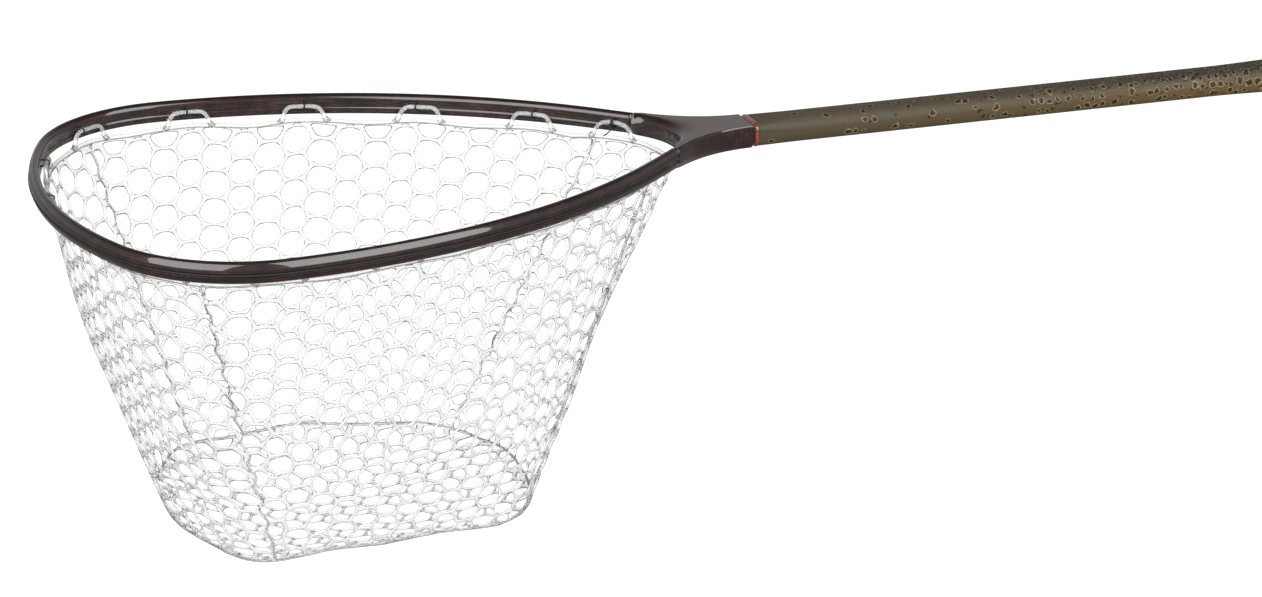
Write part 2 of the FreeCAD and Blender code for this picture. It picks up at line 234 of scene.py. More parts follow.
def outline(tip_x, arcs, straight=0.0):
    """Steps of the far half, as arrays: start (n, 2), heading, curvature and distance at each start."""
    point, heading = np.array([tip_x, 0.0]), math.pi / 2
    steps = [(1 / r, r * math.radians(turn)) for r, turn in arcs]
    if straight:
        steps.append((0.0, straight))
    starts, headings, curvatures, distances = [], [], [], [0.0]

    def lay(curvature, length):
        """Lays one step, so that the next starts at its end."""
        nonlocal point, heading
        starts.append(point)
        headings.append(heading)
        curvatures.append(curvature)
        distances.append(distances[-1] + length)
        after = heading - curvature * length
        if curvature:
            bend = np.array([math.sin(heading) - math.sin(after), math.cos(after) - math.cos(heading)])
            point = point + bend / curvature
        else:
            point = point + length * np.array([math.cos(heading), math.sin(heading)])
        heading = after

    for curvature, length in steps:
        lay(curvature, length)
    closing = point[1] / math.cos(heading)
    lay(1 / closing, closing * (heading + math.pi / 2))
    return np.array(starts), np.array(headings), np.array(curvatures), np.array(distances)


def wrapped(distance, half_length):
    """The same places, as distances between minus and plus half the way round."""
    return (np.atleast_1d(np.asarray(distance, float)) + half_length) % (2 * half_length) - half_length


def along(path, distance):
    """Points (n, 2) and outward normals (n, 2) at distances from the tip, which wrap round the outline."""
    starts, headings, curvatures, distances = path
    s = wrapped(distance, distances[-1])
    a = np.abs(s)
    k = np.clip(np.searchsorted(distances, a, side="right") - 1, 0, len(starts) - 1)
    left, h0, c = a - distances[k], headings[k], curvatures[k]
    h = h0 - c * left
    safe = np.where(c == 0, 1.0, c)
    bent = np.stack([np.sin(h0) - np.sin(h), np.cos(h) - np.cos(h0)], 1) / safe[:, None]
    level = np.stack([np.cos(h0), np.sin(h0)], 1) * left[:, None]
    point = starts[k] + np.where((c == 0)[:, None], level, bent)
    normal = np.stack([-np.sin(h), np.cos(h)], 1)
    mirror = np.where(s < 0, -1.0, 1.0)
    point[:, 1] *= mirror
    normal[:, 1] *= mirror
    return point, normal


def ring_path(path, distances, inset, z):
    """Points (n, 3) on an outline, set in by inset, at heights z."""
    point, normal = along(path, distances)
    flat = point - normal * np.broadcast_to(inset, (len(point),))[:, None]
    return np.column_stack([flat, np.broadcast_to(z, (len(point),))])


HOOP = outline(HOOP_TIP_X, HOOP_ARCS, THROAT_STRAIGHT)
BASE = outline(BASE_TIP_X, BASE_ARCS)
ARM_LENGTH = HOOP[3][-2]
HOOP_HALF_LENGTH = HOOP[3][-1]
BASE_HALF_LENGTH = BASE[3][-1]
print("hoop outline", round(2 * HOOP_HALF_LENGTH, 3), "m round")
print("base ring", round(2 * BASE_HALF_LENGTH, 3), "m round")

# %% [markdown]
# ## Helpers for materials
#
# Colours are read as the hex values a designer would note down, and turned to the linear values
# that the renderer wants. One small function adds a node, sets it and links it.

# %% Colour and node helpers


def linear(hex_colour):
    """sRGB hex to linear RGBA: the standard curve, (c + 0.055) / 1.055 to the power 2.4 above the toe."""
    c = np.array([int(hex_colour[i : i + 2], 16) / 255 for i in (1, 3, 5)])
    values = np.where(c <= 0.04045, c / 12.92, ((c + 0.055) / 1.055) ** 2.4)
    return (*values.tolist(), 1.0)


def add(tree, kind, inputs=None, stops=(), **settings):
    """Adds a node of a kind, with its own settings, a colour ramp's (position, hex) stops and its inputs.

    An input takes a value, a socket, or another node, which gives its first output.
    """
    made = tree.nodes.new(kind)
    for name, value in settings.items():
        setattr(made, name, value)
    for name, value in (inputs or {}).items():
        if isinstance(value, bpy.types.Node):
            value = value.outputs[0]
        if isinstance(value, bpy.types.NodeSocket):
            tree.links.new(value, made.inputs[name])
        else:
            made.inputs[name].default_value = value
    for number, (position, colour) in enumerate(stops):
        elements = made.color_ramp.elements
        element = elements[number] if number < 2 else elements.new(position)
        element.position, element.color = position, linear(colour)
    return made


def new_material(name):
    """An empty node material."""
    material = bpy.data.materials.new(name)
    material.use_nodes = True
    material.node_tree.nodes.clear()
    return material


def complete(material, inputs):
    """Ends a material with its surface shader, whose sockets are filled here, and its output."""
    shader = add(material.node_tree, "ShaderNodeBsdfPrincipled", inputs)
    add(material.node_tree, "ShaderNodeOutputMaterial", {"Surface": shader})
    return material


def between(value, low, high, first=0.0, last=1.0):
    """Inputs for a Map Range: where a value lies from low to high, as a number from first to last."""
    return {"Value": value, "From Min": low, "From Max": high, "To Min": first, "To Max": last}


def per_metre(millimetres):
    """A pattern's scale, which counts its features in a metre, from the real size of one."""
    return 1 / (millimetres * MM)


def finish_piece(obj, material, slot, body, *nodes):
    """Gives a piece its material and says which body and CAD nodes it stands for. The slot is not used."""
    obj.data.materials.clear()
    obj.data.materials.append(material)
    if nodes:
        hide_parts(*nodes)
    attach(obj, body)


print("black and white are", linear("#000000")[0], linear("#ffffff")[0])

# %% [markdown]
# ## Dark composite
#
# The hoop is woven carbon and glass cloth in epoxy, moulded, sanded and clear-coated. The cloth
# is a fine twill whose reddish tracer yarns barely show through the deep brown resin, and the
# coat on top gives crisp highlights. A checker turned by 45 degrees in the surface's own UV draws
# the twill, and a soft noise says where the resin is thin enough to show it.

# %% Clear-coated composite
TWILL_MM = 1.5
BLOTCH_MM = 11.1


def composite(name, base, thread, painted_top_sheen=None):
    """Woven composite: threads of a second brown, seen here and there through resin under a clear coat.

    Where a top sheen is given, as the x where it starts, the x where it is complete and a grey,
    faces that look up get a thin, rough coat and are painted that grey: a painted sheen, the light
    from above on a satin top.
    """
    material = new_material(name)
    tree = material.node_tree
    coordinates = add(tree, "ShaderNodeTexCoord")
    uv = coordinates.outputs["UV"]
    diagonal = {"Vector": uv, "Rotation": (0, 0, math.radians(45)), "Scale": (per_metre(TWILL_MM),) * 3}
    turned = add(tree, "ShaderNodeMapping", diagonal)
    threads = add(tree, "ShaderNodeTexChecker", {"Vector": turned, "Scale": 1.0})
    clouds = {"Vector": uv, "Scale": per_metre(BLOTCH_MM), "Detail": 4.0, "Roughness": 0.7}
    seen = add(tree, "ShaderNodeMapRange", between(add(tree, "ShaderNodeTexNoise", clouds), 0.45, 0.7))
    fade = add(tree, "ShaderNodeMath", {0: threads.outputs["Fac"], 1: seen}, operation="MULTIPLY")
    colour = add(tree, "ShaderNodeValToRGB", {"Fac": fade}, [(0.0, base), (1.0, thread)])
    coat, coat_roughness = 1.0, 0.04
    if painted_top_sheen:
        start, end, grey = painted_top_sheen
        # Painted sheen: faces that look up, past the arm, are mixed to grey, and their coat is made thin and
        # rough.
        place = add(tree, "ShaderNodeSeparateXYZ", {"Vector": coordinates.outputs["Object"]})
        normal = add(tree, "ShaderNodeNewGeometry").outputs["Normal"]
        facing = add(tree, "ShaderNodeSeparateXYZ", {"Vector": normal})
        past_arm = add(tree, "ShaderNodeMapRange", between(place.outputs["X"], start, end))
        level = add(tree, "ShaderNodeMapRange", between(facing.outputs["Z"], 0.85, 0.97))
        satin = add(tree, "ShaderNodeMath", {0: past_arm, 1: level}, operation="MULTIPLY")
        colour = add(tree, "ShaderNodeMixRGB", {"Fac": satin, "Color1": colour, "Color2": linear(grey)})
        coat = add(tree, "ShaderNodeMapRange", between(satin, 0.0, 1.0, 1.0, 0.12))
        coat_roughness = add(tree, "ShaderNodeMapRange", between(satin, 0.0, 1.0, 0.04, 0.35))
    sockets = {"Base Color": colour, "Roughness": 0.4, "IOR": 1.5, "Specular IOR Level": 0.15}
    return complete(material, sockets | {"Coat Weight": coat, "Coat Roughness": coat_roughness})


DEEP_BROWN, TRACER_RED = "#170f0d", "#3a211b"
hoop_composite = composite("clear-coated carbon twill", DEEP_BROWN, TRACER_RED)
print("composite twill of", TWILL_MM, "mm")

# %% [markdown]
# ## Hoop arms
#
# The hoop is one tube whose section is an oval, 7.1 mm wide and 13.6 mm tall, flatter on the
# inside. A groove runs along its outer face to hide the lacing cord, and a shallower one runs
# along the inner face behind the bag's loops. The section is carried along the outline, like a
# moulding plane would cut it: each row of the grid is the section at one distance from the tip.

# %% Hoop section and sweep
HALF_WIDTH = 3.55 * MM
HALF_HEIGHT = 6.8 * MM
GROOVE_Z = -1.0 * MM
GROOVE_RADIUS = 1.0 * MM
INNER_GROOVE_DEPTH = 0.45 * MM
INNER_GROOVE_Z = -0.6 * MM
INNER_GROOVE_HALF_WIDTH = 1.5 * MM
ARM_ROWS = 420


def hoop_section():
    """Points (n, 2) of the section, outwards then up, clockwise from the inner shoulder.

    The outer side is half an ellipse, x = w cos t, z = h sin t, with a round groove cut into it.
    The inner side is upright between quarter circles, with a shallow channel along it.
    """
    t = np.linspace(math.pi / 2, -math.pi / 2, 61)
    ellipse = np.column_stack([HALF_WIDTH * np.cos(t), HALF_HEIGHT * np.sin(t)])
    apart = np.abs(ellipse[:, 1] - GROOVE_Z) > GROOVE_RADIUS
    dip = np.linspace(math.pi / 2, 3 * math.pi / 2, 13)
    depth = HALF_WIDTH + 0.8 * GROOVE_RADIUS * np.cos(dip)
    groove = np.column_stack([depth, GROOVE_Z + GROOVE_RADIUS * np.sin(dip)])
    above = ellipse[apart & (ellipse[:, 1] > GROOVE_Z)]
    below = ellipse[apart & (ellipse[:, 1] < GROOVE_Z)]
    flat = HALF_HEIGHT - HALF_WIDTH
    rise = np.linspace(-flat, flat, 33)
    channel = INNER_GROOVE_DEPTH * np.exp(-(((rise - INNER_GROOVE_Z) / INNER_GROOVE_HALF_WIDTH) ** 6))
    inner = np.column_stack([-HALF_WIDTH + channel, rise])
    corner = np.linspace(0, math.pi / 2, 14)[1:-1]
    foot = np.column_stack([-HALF_WIDTH * np.sin(corner), -flat - HALF_WIDTH * np.cos(corner)])
    crown = np.column_stack([-HALF_WIDTH * np.cos(corner), flat + HALF_WIDTH * np.sin(corner)])
    return np.vstack([above, groove, below, foot, inner, crown])


def sweep(path, distances, section):
    """Rows of the section along a path: point + normal * outwards, raised by up."""
    point, normal = along(path, distances)
    grid = np.empty((len(point), len(section), 3))
    grid[..., :2] = point[:, None] + normal[:, None] * section[None, :, :1]
    grid[..., 2] = section[None, :, 1]
    return grid


arm_distances = np.linspace(-ARM_LENGTH, ARM_LENGTH, ARM_ROWS)
hoop_grid = sweep(HOOP, arm_distances, hoop_section())
hoop = grid_object("hoop", hoop_grid)
finish_piece(hoop, hoop_composite, "hoop_composite", "frame", "hoop_shell", "hoop_core")
print("hoop", hoop_grid.shape[0] * hoop_grid.shape[1], "points")

# %% [markdown]
# ## Accent ring and throat
#
# Where the handle meets the hoop, a thin enamelled ring of red-orange is trapped between
# them. The throat is one thick piece of the same composite, flat on top, with a thin, rough coat
# there. Its top is painted a grey sheen, the light from above as a satin top shows it, so
# it looks greyer than the glossy arms. Its outer edge runs straight off the arm and then curls
# back to the handle, and its inner edge is the round end of the hoop's opening.

# %% Throat surface
RING_X = -402.0 * MM
RING_LENGTH = 2.5 * MM
THROAT_HALF_WIDTH = 13.3 * MM
THROAT_HALF_HEIGHT = 7.2 * MM
THROAT_EDGE = 2.6 * MM
ARM_EDGE = 3.4 * MM
THROAT_ROWS = 70
SWELL_SHARE = 0.08
# Where the painted grey sheen on the throat's top starts along x, and where it is complete.
TOP_SHEEN_FROM_X = -482.0 * MM
TOP_SHEEN_FULL_X = -466.0 * MM


def throat_outer(rows):
    """Points (n, 2) from the far arm's outer side to the middle of the ring's face.

    A straight run at the arm's heading, an arc that turns back level with the handle, and the
    ring's flat face. The arc's radius makes both its ends tangent.
    """
    start, normal = along(HOOP, ARM_LENGTH)
    start = start[0] + normal[0] * HALF_WIDTH
    turn = math.atan2(normal[0, 0], normal[0, 1])
    run, drop = RING_X - start[0], start[1] - THROAT_HALF_WIDTH
    cos, sin = math.cos(turn), math.sin(turn)
    flare = (drop * cos - run * sin) / ((1 - cos) * cos - sin * sin)
    straight = (run - flare * sin) / cos
    bend = start + straight * np.array([cos, -sin])
    centre = bend + flare * np.array([sin, cos])
    ends = np.cumsum([straight, flare * turn, THROAT_HALF_WIDTH])
    corner_row = int(round(rows * ends[1] / ends[2]))
    face_rows = np.linspace(ends[1], ends[2], rows - corner_row + 1)[1:]
    d = np.concatenate([np.linspace(0, ends[1], corner_row), face_rows])
    angle = turn - np.clip(d - straight, 0, ends[1] - straight) / flare
    curve = centre - flare * np.column_stack([np.sin(angle), np.cos(angle)])
    level = start + np.minimum(d, straight)[:, None] * np.array([cos, -sin])
    face = np.column_stack([np.full(len(d), RING_X), THROAT_HALF_WIDTH - np.clip(d - ends[1], 0, None)])
    points = np.where((d < straight)[:, None], level, curve)
    return np.where((d > ends[1])[:, None], face, points)


def slab_section(widths, half_heights, radii):
    """Rows of (distance across, height) round a slab with rounded edges, for each row's own sizes."""
    quarter = np.linspace(0, math.pi / 2, 9)
    crease, sliver = 0.35 * MM, 0.01 * MM
    rows = []
    for w, h, r in zip(widths, half_heights, radii):
        crown = [[r + sliver, h], [0.5 * w - crease, h], [0.5 * w + crease, h], [w - r - sliver, h]]
        right = np.column_stack([w - r + r * np.sin(quarter), h - r + r * np.cos(quarter)])
        wall = [[w, 0.35 * h], [w, -0.35 * h]]
        upper = np.vstack([crown, right, wall])
        rows.append(np.vstack([upper, np.column_stack([w - upper[:, 0], -upper[:, 1]])]))
    return np.array(rows)


share = np.linspace(0, 1, THROAT_ROWS)
inner_point, inner_normal = along(HOOP, ARM_LENGTH + share * (HOOP_HALF_LENGTH - ARM_LENGTH))
inner_edge = inner_point - inner_normal * HALF_WIDTH
outer_edge = throat_outer(THROAT_ROWS)
width = np.linalg.norm(outer_edge - inner_edge, axis=1)
swell = np.clip(share / SWELL_SHARE, 0, 1)
half_height = HALF_HEIGHT + (THROAT_HALF_HEIGHT - HALF_HEIGHT) * swell
section = slab_section(width, half_height, ARM_EDGE + (THROAT_EDGE - ARM_EDGE) * swell)
across = (outer_edge - inner_edge) / width[:, None]
far_half = np.empty(section.shape[:2] + (3,))
far_half[..., :2] = inner_edge[:, None] + across[:, None] * section[..., :1]
far_half[..., 2] = section[..., 1]
throat_grid = np.vstack([far_half, far_half[-2::-1] * [1, -1, 1]])
throat = grid_object("throat", throat_grid)
# The throat's top gets a painted grey sheen and a thinner, rougher coat.
painted_top_sheen = (TOP_SHEEN_FROM_X, TOP_SHEEN_FULL_X, "#524c4a")
throat_composite = composite("carbon twill with painted top sheen", DEEP_BROWN, TRACER_RED, painted_top_sheen)
finish_piece(throat, throat_composite, "throat_composite", "frame", "throat_yoke", "throat_spigot")
print("throat", throat_grid.shape[0] * throat_grid.shape[1], "points")

# %% [markdown]
# ## Handle
#
# The handle is a moulded composite tube, an oval that is widest at the grip. Its rounded-rectangle
# sections are given at six stations and blended smoothly between them. Behind the accent ring it
# is wrapped in a printed film that copies a brown trout: olive flanks that turn golden towards the
# butt, dark spots with pale rings, and a darker speckled back. The print is sealed in satin resin.

# %% Handle surface
HANDLE_STATIONS = np.array(
    [
        (-399.5, 13.3, 7.6, 4.5),
        (-372.0, 12.7, 8.5, 8.0),
        (-80.0, 12.6, 8.6, 8.4),
        (-20.0, 13.8, 9.6, 9.3),
        (30.0, 15.4, 10.8, 10.4),
        (66.0, 14.6, 10.2, 9.9),
    ]
) * MM
HANDLE_ROWS = 240
HANDLE_COLUMNS = 64
RING_BULGE = 0.03


def eased(x, stations):
    """Each column of stations at places x, with a smoothstep between neighbours."""
    k = np.clip(np.searchsorted(stations[:, 0], x, side="right") - 1, 0, len(stations) - 2)
    t = (x - stations[k, 0]) / (stations[k + 1, 0] - stations[k, 0])
    t = (t * t * (3 - 2 * t))[:, None]
    return stations[k] + (stations[k + 1] - stations[k]) * t


def rounded_section(half_width, half_height, corner, columns):
    """Points (rows, columns, 2) round rounded rectangles: the corner's circle, shifted out to each corner."""
    angle = np.linspace(0, 2 * np.pi, columns, endpoint=False) - np.pi / 2 + np.pi / columns
    c, s = np.cos(angle)[None], np.sin(angle)[None]
    r = corner[:, None]
    y = np.sign(c) * (half_width[:, None] - r) + r * c
    z = np.sign(s) * (half_height[:, None] - r) + r * s
    return np.stack([y, z], axis=2)


def handle_grid(x):
    """Rows of the handle's section at places x along it."""
    sizes = eased(x, HANDLE_STATIONS)
    ring = rounded_section(sizes[:, 1], sizes[:, 2], sizes[:, 3], HANDLE_COLUMNS)
    return np.concatenate([np.broadcast_to(x[:, None, None], ring.shape[:2] + (1,)), ring], axis=2)


handle_start, handle_end = RING_X + RING_LENGTH, HANDLE_STATIONS[-1, 0]
handle = grid_object("handle", handle_grid(np.linspace(handle_start, handle_end, HANDLE_ROWS)))
bead = np.linspace(0, 1, 9)
ring_grid = handle_grid(np.full(len(bead), handle_start))
ring_swell = 1 + RING_BULGE * np.sin(np.pi * bead)[:, None, None]
ring_grid[..., 0] = RING_X + RING_LENGTH * bead[:, None]
ring_grid[..., 1:] *= ring_swell
ring = grid_object("accent_bead", ring_grid)
print("handle", round(handle_end - handle_start, 3), "m long")

# %% [markdown]
# The print is drawn in the handle's own UV, which is in metres, so spot sizes are the real ones.
# Each spot is a Voronoi cell: the distance to its centre, compared with a radius that differs from
# cell to cell, gives a dark middle and a pale ring. Fewer cells near the throat are allowed a spot.

# %% Trout print and enamel
SPOT_MM = 6.4
SPECK_MM = 3.4
BACK_SPECK_MM = 1.54
WOBBLE_MM = 3.85
WOBBLE_REACH = 1.6 * MM
ENAMEL_MM = 2.38
OLIVE = [(0.0, "#3a3427"), (0.3, "#373022"), (0.65, "#352f21"), (1.0, "#423c31")]
GOLD = [(0.0, "#3d3120"), (0.3, "#4c3c1e"), (0.65, "#46391f"), (1.0, "#39342c")]
SPECK = [(0.0, "#19140d"), (0.6, "#1d1810"), (1.0, "#332a1a")]
RINGED_SPOT = [(0.0, "#1b150d"), (0.66, "#1d170e"), (0.77, "#6a5c3f"), (0.92, "#6a5c3f"), (1.0, "#453923")]


def printed_skin():
    """Brown trout skin: olive to gold, ringed spots, a dark speckled back."""
    material = new_material("printed trout skin")
    tree = material.node_tree
    coordinates = add(tree, "ShaderNodeTexCoord")
    uv = coordinates.outputs["UV"]
    ripples = {"Vector": uv, "Scale": per_metre(WOBBLE_MM), "Detail": 1.0}
    wobble = add(tree, "ShaderNodeTexNoise", ripples, noise_dimensions="2D").outputs["Color"]
    shift = {"Fac": WOBBLE_REACH, "Color1": uv, "Color2": wobble}
    shifted = add(tree, "ShaderNodeMixRGB", shift, blend_type="LINEAR_LIGHT")
    place = add(tree, "ShaderNodeSeparateXYZ", {"Vector": coordinates.outputs["Object"]})
    to_butt = add(tree, "ShaderNodeMapRange", between(place.outputs["X"], -0.40, -0.02))
    height = add(tree, "ShaderNodeMapRange", between(place.outputs["Z"], -0.009, 0.009))
    olive = add(tree, "ShaderNodeValToRGB", {"Fac": height}, OLIVE)
    gold = add(tree, "ShaderNodeValToRGB", {"Fac": height}, GOLD)
    skin = add(tree, "ShaderNodeMixRGB", {"Fac": to_butt, "Color1": olive, "Color2": gold})

    def spots(under, size, small, large, fewest, gain, stops):
        """Spots over a colour: size is their pitch in mm, small and large their radius as a share of it.

        The share of cells that hold a spot is fewest at the throat, and gains evenly towards the butt.
        """
        pattern = {"Vector": shifted, "Scale": per_metre(size), "Randomness": 0.6}
        cells = add(tree, "ShaderNodeTexVoronoi", pattern, voronoi_dimensions="2D")
        chance = add(tree, "ShaderNodeSeparateXYZ", {"Vector": cells.outputs["Color"]})
        radius = add(tree, "ShaderNodeMapRange", between(chance.outputs["X"], 0.0, 1.0, small, large))
        chosen = add(tree, "ShaderNodeMath", {0: to_butt, 1: gain, 2: fewest}, operation="MULTIPLY_ADD")
        shown = add(tree, "ShaderNodeMath", {0: chance.outputs["Y"], 1: chosen}, operation="LESS_THAN")
        depth = add(tree, "ShaderNodeMath", {0: cells, 1: radius}, operation="DIVIDE")
        inside = add(tree, "ShaderNodeMapRange", between(depth, 1.02, 0.94))
        inside = add(tree, "ShaderNodeMath", {0: inside, 1: shown}, operation="MULTIPLY")
        tint = add(tree, "ShaderNodeValToRGB", {"Fac": depth}, stops)
        return add(tree, "ShaderNodeMixRGB", {"Fac": inside, "Color1": under, "Color2": tint})

    skin = spots(skin, SPECK_MM, 0.20, 0.34, -0.05, 0.45, SPECK)
    skin = spots(skin, SPOT_MM, 0.27, 0.42, 0.08, 0.9, RINGED_SPOT)
    dust = {"Vector": coordinates.outputs["Object"], "Scale": per_metre(BACK_SPECK_MM), "Detail": 2.0}
    speckle = add(tree, "ShaderNodeTexNoise", dust)
    dark = add(tree, "ShaderNodeMapRange", between(speckle, 0.50, 0.56, 0.0, 0.85))
    back = add(tree, "ShaderNodeMapRange", between(height, 0.62, 0.92))
    for part in (back, to_butt):
        dark = add(tree, "ShaderNodeMath", {0: dark, 1: part}, operation="MULTIPLY")
    skin = add(tree, "ShaderNodeMixRGB", {"Fac": dark, "Color1": skin, "Color2": linear("#15141a")})
    satin = {"Roughness": 0.6, "Specular IOR Level": 0.2, "Coat Weight": 0.05, "Coat Roughness": 0.3}
    return complete(material, {"Base Color": skin} | satin)


def enamel():
    """Red-orange enamel, laid by hand, so its colour is a little uneven under a full gloss."""
    material = new_material("red enamel")
    tree = material.node_tree
    place = add(tree, "ShaderNodeTexCoord").outputs["Object"]
    uneven = {"Vector": place, "Scale": per_metre(ENAMEL_MM), "Detail": 2.0}
    stops = [(0.35, "#4c1c14"), (0.65, "#7c3626")]
    colour = add(tree, "ShaderNodeValToRGB", {"Fac": add(tree, "ShaderNodeTexNoise", uneven)}, stops)
    return complete(material, {"Base Color": colour, "Roughness": 0.22, "Coat Weight": 1.0})


trout_print = printed_skin()
finish_piece(handle, trout_print, "handle_print", "frame", "handle_tube", "handle_core")
finish_piece(ring, enamel(), "accent_enamel", "frame", "accent_ring")
print("spots every", SPOT_MM, "mm")

# %% [markdown]
# ## Butt cap and lanyard eyelet
#
# The butt is closed by a plug of the same composite, drilled for a lanyard and lined with a thin
# steel tube. Both are right as the CAD has them, so they only get their finishes.

# %% Finishes for the CAD parts that stay


def plain(name, colour, roughness, metallic=0.0, coat=0.0):
    """A material of one colour."""
    sockets = {"Base Color": linear(colour), "Roughness": roughness, "Metallic": metallic}
    return complete(new_material(name), sockets | {"Coat Weight": coat})


for node, material in (
    ("butt_cap", plain("dark composite plug", "#1b1412", 0.4, coat=0.4)),
    ("lanyard_eyelet", plain("brushed stainless steel", "#b9b7b2", 0.3, metallic=1.0)),
):
    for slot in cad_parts[node].material_slots:
        slot.material = material
print("cap and eyelet finished")

# %% [markdown]
# ## Black lacing cord
#
# One length of braided black cord lies in the outer groove. At every hanger loop it dives through
# the hoop, goes over the loop's bar and comes back, which pulls the bar against the hoop. The
# stitch is a U-shaped path in the vertical plane across the hoop.

# %% Lacing
CORD_RADIUS = 0.65 * MM
STITCH_RADIUS = 0.55 * MM
CORD_OUT = 3.25 * MM
LOOP_INSET = 6.4 * MM
LOOP_RADIUS = 1.4 * MM
RIM_Z = -9.3 * MM
MIDDLE_LOOP, LOOP_PITCH, LAST_LOOP = 12.0 * MM, 75.6 * MM, 522.0 * MM
LOOP_PLACES = np.clip(MIDDLE_LOOP + LOOP_PITCH * np.arange(-7, 8), -LAST_LOOP, LAST_LOOP).tolist()
SHIFTS_MM = [3.0, -2.0, 1.5, -4.0, 2.0, -1.0, 3.5, 0.0, -3.0, -5.5, -1.0, 0.5, -2.0, 1.0, 0.0]
STITCH_SHIFTS = np.array(SHIFTS_MM) * MM
STITCH_FOOT = 3.0 * MM
STITCH_LEAN = 0.4 * MM


def local_frame(distance):
    """The hoop's middle line at a distance from the tip: a point, and directions along it and outwards."""
    point, normal = along(HOOP, distance)
    outward = np.array([*normal[0], 0.0])
    forward = np.cross(outward, [0, 0, 1.0])
    return np.array([*point[0], 0.0]), forward, outward


def placed(points, distance):
    """Local points (along, outwards, up) carried to a distance along the hoop."""
    origin, forward, outward = local_frame(distance)
    p = np.asarray(points, float)
    return origin + p[:, :1] * forward + p[:, 1:2] * outward + p[:, 2:] * [0, 0, 1]


braid = plain("black braided cord", "#0c0b09", 0.7)
cord_run = ring_path(HOOP, np.linspace(LOOP_PLACES[0], LOOP_PLACES[-1], 300), -CORD_OUT, GROOVE_Z)
lacing = [tube_grid(cord_run, CORD_RADIUS, 10)]
wrap = LOOP_RADIUS + STITCH_RADIUS
for place, shift in zip(LOOP_PLACES, STITCH_SHIFTS):
    bend = np.linspace(math.pi / 2, -math.pi / 2, 9)
    hook = [(shift, -LOOP_INSET - wrap * math.cos(a), wrap * math.sin(a)) for a in bend]
    upper, lower = (shift + STITCH_LEAN, -STITCH_FOOT, wrap), (shift - STITCH_LEAN, -STITCH_FOOT, -wrap)
    path = placed([upper, *hook, lower], place)
    lacing.append(tube_grid(smooth_path(path, 40), STITCH_RADIUS, 8, reference=local_frame(place)[1]))
cord_piece = joined("lacing", lacing)
stitches = [f"lacing_stitch_{number:02d}" for number in range(1, len(LOOP_PLACES) + 1)]
finish_piece(cord_piece, braid, "lacing_cord", "frame", "lacing_cord", *stitches)
print(len(LOOP_PLACES), "stitches")

# %% [markdown]
# The cord ends in a knot at the last loop: two turns round the bar, and a stiff tail of 9 mm that
# leaves it, drops and leans away. The tail's route is a spline through the same points as in CAD.

# %% Knot and tail
TAIL_ROUTE = [
    (0.0, 0.0, -2.4), (-0.6, -0.5, -4.0), (-1.7, -1.1, -5.6), (-3.2, -1.9, -7.0), (-5.0, -2.6, -8.1),
]
TAIL_RADIUS = 0.4 * MM
KNOT_WIDTH = 2.2 * MM

tail_points = placed([(x * MM, y * MM - LOOP_INSET, z * MM) for x, y, z in TAIL_ROUTE], LOOP_PLACES[-1])
tail_curve = bpy.data.curves.new("lacing_tail_end", "CURVE")
tail_curve.dimensions = "3D"
tail_curve.bevel_depth = TAIL_RADIUS
tail_curve.bevel_resolution = 3
tail_curve.use_fill_caps = True
spline = tail_curve.splines.new("NURBS")
spline.points.add(len(tail_points) - 1)
for point, place in zip(spline.points, tail_points):
    point.co = (*place, 1.0)
spline.order_u = 3
spline.use_endpoint_u = True
spline.resolution_u = 12
tail = bpy.data.objects.new("lacing_tail_end", tail_curve)
bpy.context.scene.collection.objects.link(tail)
finish_piece(tail, braid, "lacing_cord", "frame", "lacing_tail")
turn = np.linspace(0, 1, 60)
knot_angle = 4 * np.pi * turn + np.pi
knot_path = np.column_stack(
    [KNOT_WIDTH * (turn - 0.5), wrap * np.cos(knot_angle) - LOOP_INSET, wrap * np.sin(knot_angle)]
)
knot_side = local_frame(LOOP_PLACES[-1])[1]
knot_grid = tube_grid(placed(knot_path, LOOP_PLACES[-1]), STITCH_RADIUS, 8, reference=knot_side)
knot = grid_object("lacing_knot", knot_grid)
finish_piece(knot, braid, "lacing_cord", "frame")
print("knot at", np.round(tail_points[0], 3))

# %% [markdown]
# ## Clear rubber
#
# The bag is moulded in one shot from clear thermoplastic rubber, in an open tool with polished
# channels, so its strands are glassy, a little milky, and bend light like a lens: they are pale in
# the middle and grey at their edges. Real rubber of this kind has an index near 1.45. The index
# here is lower, and was matched so that the strands stay pale in a white studio.
# Here the grey at their edges is painted shade: the colour turns grey where a surface is seen nearly edge-on.

# %% Clear rubber material
RUBBER_INDEX = 1.22


def clear_rubber_with_painted_edges(name, clear, roughness, side, edge):
    """Clear rubber: clear is the share of light that goes through, and the rest scatters.

    Surfaces seen nearly edge-on take the side and the edge colours: painted shade, for the grey that thick
    clear rubber shows at its edges by bending light.
    """
    material = new_material(name)
    # Painted shade: the colour runs from a pale middle to the side and edge greys as the surface turns
    # edge-on.
    facing = add(material.node_tree, "ShaderNodeLayerWeight", {"Blend": 0.5}).outputs["Facing"]
    stops = [(0.0, "#efefee"), (0.2, "#e9e9e8"), (0.5, side), (1.0, edge)]
    tint = add(material.node_tree, "ShaderNodeValToRGB", {"Fac": facing}, stops)
    sockets = {"Base Color": tint, "Roughness": roughness, "IOR": RUBBER_INDEX, "Transmission Weight": clear}
    return complete(material, sockets)


# Each rubber has its own painted edge shade; the thin strands get lighter greys.
rubber = clear_rubber_with_painted_edges("clear moulded rubber", 0.93, 0.12, "#d4d4d2", "#b0b0ae")
milky_rubber = clear_rubber_with_painted_edges("milky moulded rubber", 0.80, 0.25, "#d0d0ce", "#a6a6a4")
thin_rubber = clear_rubber_with_painted_edges("thin clear rubber", 0.90, 0.25, "#ececea", "#dcdcda")
print("rubber with an index of", RUBBER_INDEX)

